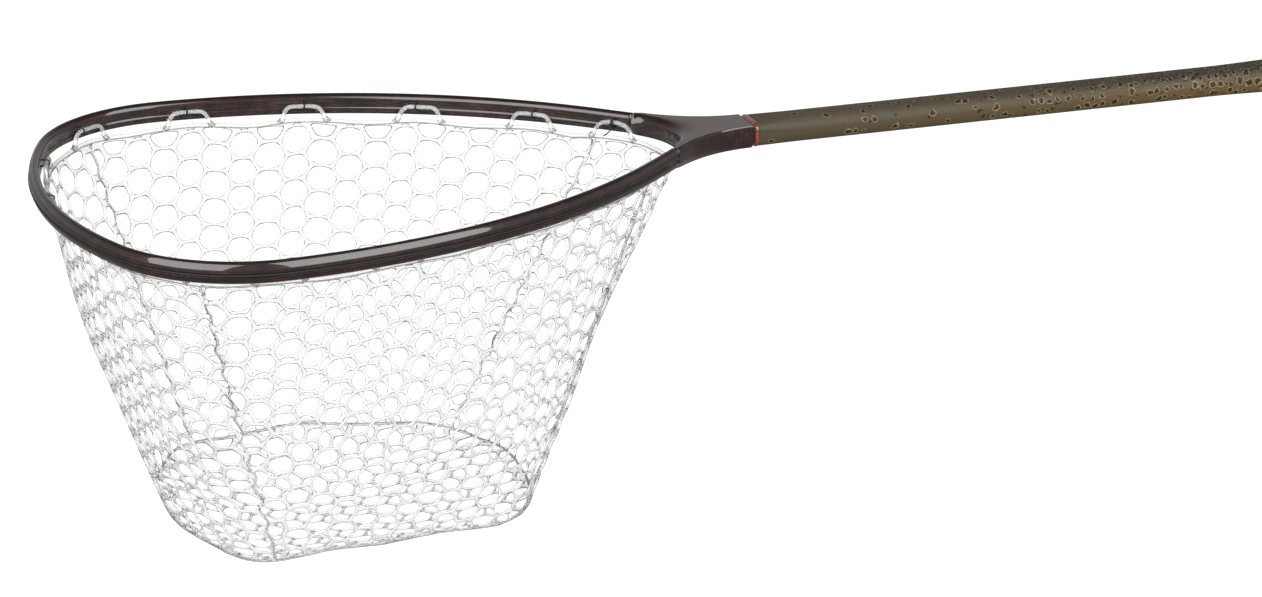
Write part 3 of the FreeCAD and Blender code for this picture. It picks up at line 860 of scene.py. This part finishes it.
# %% [markdown]
# ## Rim and hanger loops
#
# The bag ends in a round rim 3 mm thick, moulded with fifteen staple-shaped loops. The
# loops are tied to the hoop, and between them the rim hangs a little lower and wanders, because
# nothing holds it there. A loop's feet swell where they run into the rim.

# %% Rim
RIM_RADIUS = 1.5 * MM
RIM_ROWS = 900
RIM_SAG = 1.6 * MM
RIM_WANDER = 0.5 * MM
RIM_PULL_IN = 1.2 * MM
SAG_REACH = 38 * MM


def inset_outline(tip_x, arcs, straight, inset):
    """The outline at a constant distance inside another: arcs lose the inset from their radii."""
    return outline(tip_x + inset, [(r - inset, turn) for r, turn in arcs], straight)


RIM = inset_outline(HOOP_TIP_X, HOOP_ARCS, THROAT_STRAIGHT, LOOP_INSET)
RIM_HALF_LENGTH = RIM[3][-1]


def nearest_on_rim(distance):
    """The rim's distance opposite a place on the hoop: the sample that is nearest to it."""
    point, normal = along(HOOP, distance)
    target = point[0] - normal[0] * LOOP_INSET
    samples = np.linspace(-RIM_HALF_LENGTH, RIM_HALF_LENGTH, 6001)
    return samples[np.argmin(np.linalg.norm(along(RIM, samples)[0] - target, axis=1))]


rim_loops = np.array([nearest_on_rim(place) for place in LOOP_PLACES])


def rim_points(distance):
    """Points (n, 3) of the rim's middle line.

    It lies at RIM_Z by each loop. Towards the middle of each gap it dips by half a cosine, and two
    sines round the rim make it wander up and down and inwards.
    """
    d = wrapped(distance, RIM_HALF_LENGTH)
    gap = np.abs(d[:, None] - rim_loops).min(axis=1)
    dip = 0.5 - 0.5 * np.cos(np.pi * np.clip(gap / SAG_REACH, 0, 1))
    phase = 2 * np.pi * d / (2 * RIM_HALF_LENGTH)
    height = RIM_Z - RIM_SAG * dip + RIM_WANDER * np.sin(11 * phase + 0.6) * dip
    return ring_path(RIM, d, RIM_PULL_IN * dip * (1 + 0.5 * np.sin(17 * phase)), height)


rim_distances = np.linspace(-RIM_HALF_LENGTH, RIM_HALF_LENGTH, RIM_ROWS, endpoint=False)
rim_line = rim_points(rim_distances)
rim = tube("rim", rim_line, RIM_RADIUS, 12, closed=True)
finish_piece(rim, rubber, "clear_rubber", "frame", "bag_rim")
print("rim", round(2 * RIM_HALF_LENGTH, 3), "m round")

# %% Hanger loops
LOOP_SHAPE = [
    (-15.5, -9.9), (-14.2, -8.8), (-12.9, -6.2), (-11.6, -3.0), (-9.6, -0.8), (-6.4, 0.05), (0.0, 0.2),
    (6.4, 0.05), (9.6, -0.8), (11.6, -3.0), (12.9, -6.2), (14.2, -8.8), (15.5, -9.9),
]
ARCH_SHAPE = [
    (-15.0, -9.9), (-13.6, -8.6), (-12.2, -5.8), (-10.6, -2.6), (-8.2, -0.4), (-4.6, 0.7), (0.0, 1.0),
    (4.6, 0.6), (8.4, -0.7), (11.2, -3.2), (12.8, -6.3), (14.2, -8.8), (15.5, -9.9),
]
LEANS = np.array([0.5, -0.8, 1.0, -0.4, 0.3, 0.9, -0.6, 0.2, -0.9, 0.6, 0.1, -0.5, 0.7, -0.2, 0.8]) * MM
FOOT_SWELL = 0.55 * MM
LOOP_HALF_SPAN = 10.5 * MM
LOOP_DROP = 9 * MM
FOOT_PULL = 0.9

for number, (place, lean) in enumerate(zip(LOOP_PLACES, LEANS), 1):
    shape = np.array(ARCH_SHAPE if number == len(LOOP_PLACES) else LOOP_SHAPE) * MM
    flat = smooth_path(np.column_stack([shape[:, 0], np.zeros(len(shape)), shape[:, 1]]), 90)
    foot = np.clip(-flat[:, 2] / LOOP_DROP, 0, 1)
    ends = [along(HOOP, place + side * LOOP_HALF_SPAN)[0][0] for side in (-1, 1)]
    chord = ends[1] - ends[0]
    forward = np.array([*chord / np.linalg.norm(chord), 0.0])
    outward = np.cross([0, 0, 1.0], forward)
    middle = np.array([*np.mean(ends, axis=0), 0.0])
    flat[:, 0] += lean * (1 - foot)
    path = middle + flat[:, :1] * forward + flat[:, 2:] * [0, 0, 1] - outward * LOOP_INSET
    gaps = np.linalg.norm(rim_line[None, :, :2] - path[:, None, :2], axis=2)
    target = rim_line[np.argmin(gaps, axis=1)]
    pull = (np.clip((foot - 0.55) / 0.45, 0, 1) ** 2)[:, None]
    path = path + (target - path) * pull * [1, 1, 0] * FOOT_PULL
    radius = LOOP_RADIUS + FOOT_SWELL * np.clip((foot - 0.7) / 0.3, 0, 1)
    loop = tube(f"hanger_loop_{number:02d}_moulded", path, radius, 14, reference=outward)
    finish_piece(loop, milky_rubber, "clear_rubber", "frame", f"hanger_loop_{number:02d}")
print(len(LOOP_PLACES), "hanger loops")

# %% [markdown]
# ## The bag's honeycomb
#
# The bag is four wall panels and a floor, all of one honeycomb, moulded flat with cells 17.4 mm
# high. A panel is therefore laid out flat first, as its real tool was: hexagons are cut to the
# panel's outline, each gets a nearly round hole, and the strand between two holes is a rounded
# bar 1.6 mm wide. The flat web is then carried onto the curved panel, which stretches its cells at
# the rim and squeezes them at the base. Neighbouring cells share their points, so each panel is
# one closed surface.

# %% Flat honeycomb
CELL_HEIGHT = 17.4 * MM
STRAND = 1.6 * MM
STRAND_THICKNESS = 1.7 * MM
EDGE_SAMPLES = 3
FILLED_SHARE = 0.06
SLIVER_SHARE = 0.002
SMALLEST_HOLE = 0.3
ROUNDNESS = 0.12
SHOULDER = (0.62, 0.8)


def cut_convex(polygon, boundary):
    """A polygon (n, 2) cut to a convex boundary (m, 2), both anticlockwise, one boundary edge at a time."""
    for a, b in zip(boundary, np.roll(boundary, -1, axis=0)):
        edge = b - a
        side = edge[0] * (polygon[:, 1] - a[1]) - edge[1] * (polygon[:, 0] - a[0])
        if (side >= 0).all():
            continue
        kept = []
        for k in range(len(polygon)):
            here, after = side[k], side[(k + 1) % len(polygon)]
            if here >= 0:
                kept.append(polygon[k])
            if (here >= 0) != (after >= 0):
                along_side = (polygon[(k + 1) % len(polygon)] - polygon[k]) * here / (here - after)
                kept.append(polygon[k] + along_side)
        if len(kept) < 3:
            return np.empty((0, 2))
        polygon = np.array(kept)
    return polygon


def area(polygon):
    """Half the sum of each x times the next y, less each y times the next x: positive when anticlockwise."""
    x, y = polygon.T
    return 0.5 * float(np.sum(x * np.roll(y, -1) - y * np.roll(x, -1)))


def honeycomb_cells(boundary, shift):
    """Hexagons with flat tops that cover a convex boundary, each cut to it."""
    radius = CELL_HEIGHT / math.sqrt(3)
    corners = np.radians(np.arange(6) * 60.0)
    low, high = boundary.min(axis=0), boundary.max(axis=0)
    cells = []
    columns = int((high[0] - low[0]) / (1.5 * radius)) + 3
    rows = int((high[1] - low[1]) / CELL_HEIGHT) + 3
    for i in range(-1, columns):
        for j in range(-1, rows):
            centre = low + shift + [1.5 * radius * i, CELL_HEIGHT * (j + 0.5 * (i % 2))]
            hexagon = centre + radius * np.column_stack([np.cos(corners), np.sin(corners)])
            cell = cut_convex(hexagon, boundary)
            if len(cell) >= 3 and area(cell) > SLIVER_SHARE * CELL_HEIGHT**2:
                cells.append(cell)
    return cells


def hole_in(ring, centre):
    """A cell's hole: its outline shrunk by half a strand, smoothed once and drawn towards a circle."""
    edge = np.roll(ring, -1, axis=0) - ring
    gap = np.abs(edge[:, 0] * (centre[1] - ring[:, 1]) - edge[:, 1] * (centre[0] - ring[:, 0]))
    apothem = (gap / np.maximum(np.linalg.norm(edge, axis=1), 1e-9)).min()
    hole = centre + (ring - centre) * max(1 - STRAND / 2 / apothem, SMALLEST_HOLE)
    hole = 0.5 * hole + 0.25 * (np.roll(hole, 1, axis=0) + np.roll(hole, -1, axis=0))
    reach = np.linalg.norm(hole - centre, axis=1, keepdims=True)
    circle = max(apothem - STRAND / 2, SMALLEST_HOLE * apothem)
    return centre + (hole - centre) * ((1 - ROUNDNESS) + ROUNDNESS * circle / reach)


def web(cells, jitter):
    """One closed honeycomb surface from flat cells: points (n, 3), as across, down and height, and faces.

    Each cell's outline is sampled, and each sample makes five points across half a strand: its
    ridge above, a shoulder, the hole's edge, a shoulder and its ridge below. Ridge points are
    shared between cells, and points on the panel's edge are closed by a wall. Cells too small for
    a hole are filled.
    """
    half = STRAND_THICKNESS / 2
    whole_cell = 3 * math.sqrt(3) / 2 * (CELL_HEIGHT / math.sqrt(3)) ** 2
    inward, height_there = SHOULDER
    points, faces, index, loose = [], [], {}, {}

    def shared(p, height):
        """The number of a ridge point, which is made once and found again to a hundredth of a millimetre."""
        key = (round(p[0] * 1e5), round(p[1] * 1e5), height > 0)
        if key not in index:
            index[key] = len(points)
            points.append((p[0], p[1], height))
        return index[key]

    for cell in cells:
        after = np.roll(cell, -1, axis=0)
        steps = np.arange(EDGE_SAMPLES)[None, :, None] / EDGE_SAMPLES
        ring = (cell[:, None] + (after - cell)[:, None] * steps).reshape(-1, 2)
        ring = ring + jitter(ring)
        centre = ring.mean(axis=0)
        above, below = [shared(p, half) for p in ring], [shared(p, -half) for p in ring]
        n = len(ring)
        for k in range(n):
            pair = (above[k], above[(k + 1) % n])
            if (pair[1], pair[0]) in loose:
                del loose[(pair[1], pair[0])]
            else:
                loose[pair] = (below[k], below[(k + 1) % n])
        if area(cell) < FILLED_SHARE * whole_cell:
            top, bottom = len(points), len(points) + 1
            points.extend([(*centre, half * 0.9), (*centre, -half * 0.9)])
            for k in range(n):
                faces += [(above[k], above[(k + 1) % n], top), (below[(k + 1) % n], below[k], bottom)]
            continue
        hole = hole_in(ring, centre)
        shoulder = ring + inward * (hole - ring)
        rows = []
        for line, height in ((shoulder, height_there * half), (hole, 0.0), (shoulder, -height_there * half)):
            rows.append(list(range(len(points), len(points) + n)))
            points.extend((*p, height) for p in line)
        strips = [above, *rows, below]
        for upper, lower in zip(strips[:-1], strips[1:]):
            for k in range(n):
                faces.append((upper[k], upper[(k + 1) % n], lower[(k + 1) % n], lower[k]))
    faces += [(b, a, c, d) for (a, b), (c, d) in loose.items()]
    return np.array(points), faces


print("strands", round(STRAND / MM, 2), "mm wide between cells", round(CELL_HEIGHT / MM, 2), "mm high")

# %% [markdown]
# A wall panel is the straight-ruled surface between a stretch of the rim and a stretch of the base
# ring. Hanging rubber is never as flat as that: it bellies out between the corner creases and
# ripples, so waves are added along the surface's normal, and they fade out at the rim and base.

# %% Wall panels
WALL_TOP_Z = -10.6 * MM
BASE_Z = -205.0 * MM
BASE_SAG = 20.0 * MM
BELLY = 4.5 * MM
RIPPLE = 2.2 * MM
PANEL_JITTER = 0.8 * MM
BASE_WAVE = 2.4 * MM
BASE_SMALL_WAVE = 1.2 * MM
WIDTH_STRETCH = (1.15, 0.93)
HEIGHT_STRETCH = (1.06, 0.88)
WALL_CELLS = 12
ZIGZAG = 2.0 * MM
CORNER_REACH = 14 * MM
THROAT_BELLY = -2.0 * MM
JITTER_PITCH = 24 * MM
JITTER_GAIN = 1.8
WALL_SHIFT = np.array([2.0 * MM, 0.4 * CELL_HEIGHT])
BAG_MIDDLE = np.array([BASE_TIP_X + 110 * MM, 0.0, 0.0])


def base_height(distance):
    """The base ring's height: four slow waves round it, and nine small ones."""
    phase = 2 * np.pi * np.asarray(distance) / (2 * BASE_HALF_LENGTH)
    return BASE_Z + BASE_WAVE * np.sin(4 * phase + 0.9) + BASE_SMALL_WAVE * np.sin(9 * phase)


def base_points(distance):
    """Points (n, 3) of the base ring's middle line."""
    return ring_path(BASE, np.atleast_1d(distance), 0.0, base_height(np.atleast_1d(distance)))


def outwards(points):
    """Level unit directions (n, 3) from the bag's upright middle line to points, and those square to them."""
    out = (points - BAG_MIDDLE) * [1, 1, 0]
    out /= np.linalg.norm(out, axis=1, keepdims=True)
    return out, np.cross(out, [0, 0, 1.0])


def waves(a, b, seed):
    """Ripples over a panel: a few slow sines in random directions."""
    draw = np.random.default_rng(seed)
    total = np.zeros_like(a)
    for _ in range(5):
        direction, phase = draw.uniform(-1, 1, 2), draw.uniform(0, 2 * np.pi)
        total += np.sin(2 * np.pi * (direction[0] * 2.2 * a + direction[1] * 1.6 * b) + phase)
    return total / 3


def zigzag(b):
    """How far a corner sways sideways at a share down it: a triangle wave to a cell, still at its ends."""
    turns = b * WALL_CELLS
    wave = 4 * np.abs((turns + 0.25) % 1 - 0.5) - 1
    return ZIGZAG * wave * np.clip(WALL_CELLS * b, 0, 1) * np.clip(WALL_CELLS * (1 - b), 0, 1)


class Panel:
    """A wall panel: its flat outline, and the surface that its flat points are carried onto."""

    def __init__(self, rim_ends, base_ends, seed, belly=BELLY):
        self.rim_ends, self.base_ends, self.seed, self.belly = rim_ends, base_ends, seed, belly
        t = np.linspace(0, 1, 41)
        self.top_width = steps_along(self.top(t))[len(t) - 1]
        self.low_width = steps_along(self.low(t))[len(t) - 1]
        self.height = float(np.linalg.norm(self.top(t) - self.low(t), axis=1).mean())
        self.flat_height = self.height / np.mean(HEIGHT_STRETCH)

    def top(self, a):
        """Points at shares across the panel's top edge, just below the rim's middle line."""
        points = rim_points(self.rim_ends[0] + (self.rim_ends[1] - self.rim_ends[0]) * a)
        points[:, 2] += WALL_TOP_Z - RIM_Z
        return points

    def low(self, a):
        """Points at shares across the panel's foot, on the base ring."""
        return base_points(self.base_ends[0] + (self.base_ends[1] - self.base_ends[0]) * a)

    def outline(self):
        """The flat trapezoid (4, 2), anticlockwise: the base's edge, then the rim's.

        Flat cells are all alike. The stretched rubber's are wider and taller at the rim than at
        the base, so the trapezoid is as wide as each edge over its stretch.
        """
        w, v = self.top_width / WIDTH_STRETCH[0] / 2, self.low_width / WIDTH_STRETCH[1] / 2
        return np.array([[-v, 0], [v, 0], [w, self.flat_height], [-w, self.flat_height]])

    def ruled(self, flat):
        """Points (n, 3) for flat points: a is the share across, b the share down, which the stretch spaces.

        Each lies on the straight line from the top edge to the foot. Half a sine down the wall
        bellies it outwards, with ripples, and it sways with the zigzag beside the corners.
        """
        down = 1 - flat[:, 1] / self.flat_height
        top_stretch, low_stretch = HEIGHT_STRETCH
        b = down * (top_stretch + (low_stretch - top_stretch) * down / 2) / ((top_stretch + low_stretch) / 2)
        top_flat, low_flat = self.top_width / WIDTH_STRETCH[0], self.low_width / WIDTH_STRETCH[1]
        a = flat[:, 0] / (top_flat + (low_flat - top_flat) * down) + 0.5
        a = np.clip(a, 0, 1)
        fade = np.sin(np.pi * np.clip(b, 0, 1))
        corner = np.sin(np.pi * a) ** 0.6
        swell = fade * (self.belly * corner + RIPPLE * waves(a, b, self.seed) * np.minimum(1, 3 * corner))
        top, low = self.top(a), self.low(a)
        point = top + (low - top) * b[:, None]
        out, across = outwards(point)
        edge = np.exp(-self.top_width * np.stack([a, 1 - a], axis=1) / CORNER_REACH).sum(axis=1)
        return point + out * swell[:, None] + across * (edge * zigzag(b))[:, None]

    def carry(self, points):
        """Flat points (n, 3) carried onto the surface, their heights along its normal."""
        flat, step = points[:, :2], 0.5 * MM
        here = self.ruled(flat)
        u = self.ruled(flat + [step, 0]) - self.ruled(flat - [step, 0])
        v = self.ruled(flat + [0, step]) - self.ruled(flat - [0, step])
        normal = np.cross(u, v)
        normal /= np.linalg.norm(normal, axis=1, keepdims=True)
        return here + normal * points[:, 2:]


def smooth_jitter(seed, amount):
    """A displacement of flat points: fast sines in random directions, the same for the same point."""
    draw = np.random.default_rng(seed)
    directions = draw.uniform(-1, 1, (6, 2)) * 2 * np.pi / JITTER_PITCH
    phases = draw.uniform(0, 2 * np.pi, (6, 2))

    def move(points):
        angle = points @ directions.T
        across, down = (np.sin(angle + phases[:, axis]).mean(axis=1) for axis in (0, 1))
        return amount * np.stack([across, down], axis=1) * JITTER_GAIN

    return move


def corner_ends():
    """Distances round the rim and the base ring of the corners: mid-shoulder, and the end of the last arc."""
    rim_steps, base_steps = RIM[3], BASE[3]
    tip = ((rim_steps[1] + rim_steps[2]) / 2, (base_steps[1] + base_steps[2]) / 2)
    back = (rim_steps[3], (base_steps[3] + base_steps[4]) / 2)
    return tip, back


TIP_CORNER, BACK_CORNER = corner_ends()
PANELS = {
    "tip": Panel((-TIP_CORNER[0], TIP_CORNER[0]), (-TIP_CORNER[1], TIP_CORNER[1]), 3),
    "far": Panel((TIP_CORNER[0], BACK_CORNER[0]), (TIP_CORNER[1], BACK_CORNER[1]), 4),
    "near": Panel((-BACK_CORNER[0], -TIP_CORNER[0]), (-BACK_CORNER[1], -TIP_CORNER[1]), 5),
    "throat": Panel(
        (BACK_CORNER[0], 2 * RIM_HALF_LENGTH - BACK_CORNER[0]),
        (BACK_CORNER[1], 2 * BASE_HALF_LENGTH - BACK_CORNER[1]),
        6,
        belly=THROAT_BELLY,
    ),
}


def web_object(name, cells, carry, jitter):
    """A honeycomb piece: the flat web of the cells, carried onto its surface."""
    points, faces = web(cells, jitter)
    return new_object(name, carry(points), faces)


for side, panel in PANELS.items():
    cells = honeycomb_cells(panel.outline(), WALL_SHIFT)
    wall = web_object(f"bag_mesh_{side}", cells, panel.carry, smooth_jitter(panel.seed, PANEL_JITTER))
    finish_piece(wall, rubber, "clear_rubber", "frame", f"bag_wall_{side}")
    sizes = [round(1000 * length) for length in (panel.top_width, panel.low_width, panel.height)]
    print(side, "wall: top, foot and height", sizes, "mm")
    print(len(cells), "cells", len(wall.data.polygons), "faces")

# %% [markdown]
# Where two walls meet, the moulding has a corner strand that carries on from the strands beside it.
# It zigzags a little between them. The base ring is such a strand too, all the way round.

# %% Corner strands and base ring
SEAM_RADIUS = 0.7 * MM
BASE_RING_RADIUS = 0.9 * MM

corners = {"tip_far": (PANELS["far"], 0.0), "tip_near": (PANELS["near"], 1.0)}
corners |= {"throat_far": (PANELS["far"], 1.0), "throat_near": (PANELS["near"], 0.0)}
for name, (panel, a) in corners.items():
    b = np.linspace(0, 1, 145)
    edge = np.full(len(b), a)
    line = panel.top(edge) + (panel.low(edge) - panel.top(edge)) * b[:, None]
    line = line + outwards(line)[1] * zigzag(b)[:, None]
    seam = tube(f"bag_corner_{name}", line, SEAM_RADIUS, 12, reference=(0, 1, 0))
    finish_piece(seam, thin_rubber, "clear_rubber", "frame", "bag_seam_" + name)
base_distances = np.linspace(-BASE_HALF_LENGTH, BASE_HALF_LENGTH, 500, endpoint=False)
base_ring = tube("bag_base_strand", base_points(base_distances), BASE_RING_RADIUS, 12, closed=True)
finish_piece(base_ring, thin_rubber, "clear_rubber", "bag_base", "bag_base_ring")
print("base strand", round(2 * BASE_HALF_LENGTH, 3), "m round")

# %% [markdown]
# The floor is the same honeycomb, cut to the base ring's outline. It sags like a dish below the
# ring, most of all in its middle: its depth falls off with the square of the distance outwards.

# %% Floor
FLOOR_MIDDLE = np.array([BASE_TIP_X + 98 * MM, 0.0])
FLOOR_RIPPLE = 2.0 * MM
FLOOR_RIPPLE_REACH = (52 * MM, 45 * MM)
FLOOR_SHIFT = np.array([3.0, 5.0]) * MM


def floor_share(flat):
    """How far out flat points lie, from 0 in the middle to 1 on the ring, and the ring's height there."""
    ring = along(BASE, base_distances)[0] - FLOOR_MIDDLE
    ring_angle = np.arctan2(ring[:, 1], ring[:, 0])
    order = np.argsort(ring_angle)
    offset = flat - FLOOR_MIDDLE
    angle = np.arctan2(offset[:, 1], offset[:, 0])
    reach = np.interp(angle, ring_angle[order], np.linalg.norm(ring, axis=1)[order], period=2 * np.pi)
    height = np.interp(angle, ring_angle[order], base_height(base_distances)[order], period=2 * np.pi)
    return np.linalg.norm(offset, axis=1) / reach, height


def floor_carry(points):
    """Flat points (n, 3) lowered onto the dish; its slope is small, so their heights stay upright."""
    share, edge_height = floor_share(points[:, :2])
    fall = 1 - np.minimum(share, 1) ** 2
    x, y = points[:, 0] / FLOOR_RIPPLE_REACH[0], points[:, 1] / FLOOR_RIPPLE_REACH[1]
    ripple = FLOOR_RIPPLE * (np.sin(x + 0.4) * np.cos(1.3 * y) + 0.5 * np.sin(2.1 * y + 1.7 * x)) * fall
    height = edge_height * (1 - fall) + BASE_Z * fall - BASE_SAG * fall + ripple
    return np.column_stack([points[:, 0], points[:, 1], height + points[:, 2]])


floor_outline = along(BASE, np.linspace(BASE_HALF_LENGTH, -BASE_HALF_LENGTH, 72, endpoint=False))[0]
floor_cells = honeycomb_cells(floor_outline, FLOOR_SHIFT)
bag_floor = web_object("bag_mesh_floor", floor_cells, floor_carry, smooth_jitter(9, PANEL_JITTER))
finish_piece(bag_floor, rubber, "clear_rubber", "bag_base", "bag_floor")
print("floor", len(floor_cells), "cells")

# %% [markdown]
# ## Own meshes
#
# Each wall panel and corner strand is given its own copy of its mesh.

for piece_name in [f"bag_mesh_{side}" for side in PANELS] + [f"bag_corner_{name}" for name in corners]:
    piece = bpy.data.objects[piece_name]
    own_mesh(piece)

# %% [markdown]
# ## Studio
#
# The net is held over a white sweep, lit by two wide softboxes, one each side of the camera, which
# draw the crisp pale bars along the glossy hoop. The sweep glows an even white, and glossy pieces
# don't mirror it. The room is pale near the horizon and darker overhead, so that the hoop stays
# dark between its bars.

# %% Floor, lights and world
FLOOR_REACH = 9.0
FLOOR_Z = -1.1
NET_MIDDLE = Vector((-0.63, 0.0, 0.0))
SOFTBOX_DISTANCE = 6.0
SOFTBOX_RISE = math.radians(29.0)
SOFTBOXES = {"softbox_right": (-56.0, 21.5, 540.0), "softbox_left": (-148.0, 29.0, 700.0)}

floor_corners = np.array([[-1, -1, 0], [1, -1, 0], [1, 1, 0], [-1, 1, 0]]) * FLOOR_REACH + [0, 0, FLOOR_Z]
sweep_floor = new_object("studio_floor", floor_corners, [(0, 1, 2, 3)])
glow = {"Emission Color": linear("#ffffff"), "Emission Strength": 1.0}
matt = {"Base Color": linear("#6e6e6e"), "Roughness": 0.9}
white_sweep = complete(new_material("white sweep"), matt | glow)
sweep_floor.data.materials.append(white_sweep)
sweep_floor.visible_glossy = False


def softbox(name, place, target, size, power):
    """A rectangular area light that looks at a target."""
    light = bpy.data.lights.new(name, "AREA")
    light.shape = "RECTANGLE"
    light.size, light.size_y = size
    light.energy = power
    obj = bpy.data.objects.new(name, light)
    obj.location = place
    obj.rotation_euler = (Vector(target) - Vector(place)).to_track_quat("-Z", "Y").to_euler()
    bpy.context.scene.collection.objects.link(obj)


for name, (azimuth, spread, power) in SOFTBOXES.items():
    turn = math.radians(azimuth)
    level = math.cos(SOFTBOX_RISE)
    offset = Vector((math.cos(turn) * level, math.sin(turn) * level, math.sin(SOFTBOX_RISE)))
    width = 2 * SOFTBOX_DISTANCE * math.tan(math.radians(spread))
    softbox(name, NET_MIDDLE + offset * SOFTBOX_DISTANCE, NET_MIDDLE, (width, SOFTBOX_DISTANCE), power)
world = bpy.data.worlds.new("studio room")
world.use_nodes = True
bpy.context.scene.world = world
world_tree = world.node_tree
world_tree.nodes.clear()
direction = add(world_tree, "ShaderNodeTexCoord").outputs["Generated"]
height_seen = add(world_tree, "ShaderNodeSeparateXYZ", {"Vector": direction}).outputs["Z"]
share_up = add(world_tree, "ShaderNodeMapRange", between(height_seen, -1.0, 1.0))
greys = [(0.46, "#8c8c8c"), (0.5, "#c0c0c0"), (0.66, "#b0b0b0"), (0.78, "#505050"), (1.0, "#3a3a3a")]
room = add(world_tree, "ShaderNodeValToRGB", {"Fac": share_up}, greys)
background = add(world_tree, "ShaderNodeBackground", {"Color": room, "Strength": 0.9})
add(world_tree, "ShaderNodeOutputWorld", {"Surface": background})
bpy.context.scene.view_settings.view_transform = "Standard"
print("two softboxes, each", SOFTBOX_DISTANCE, "m away")
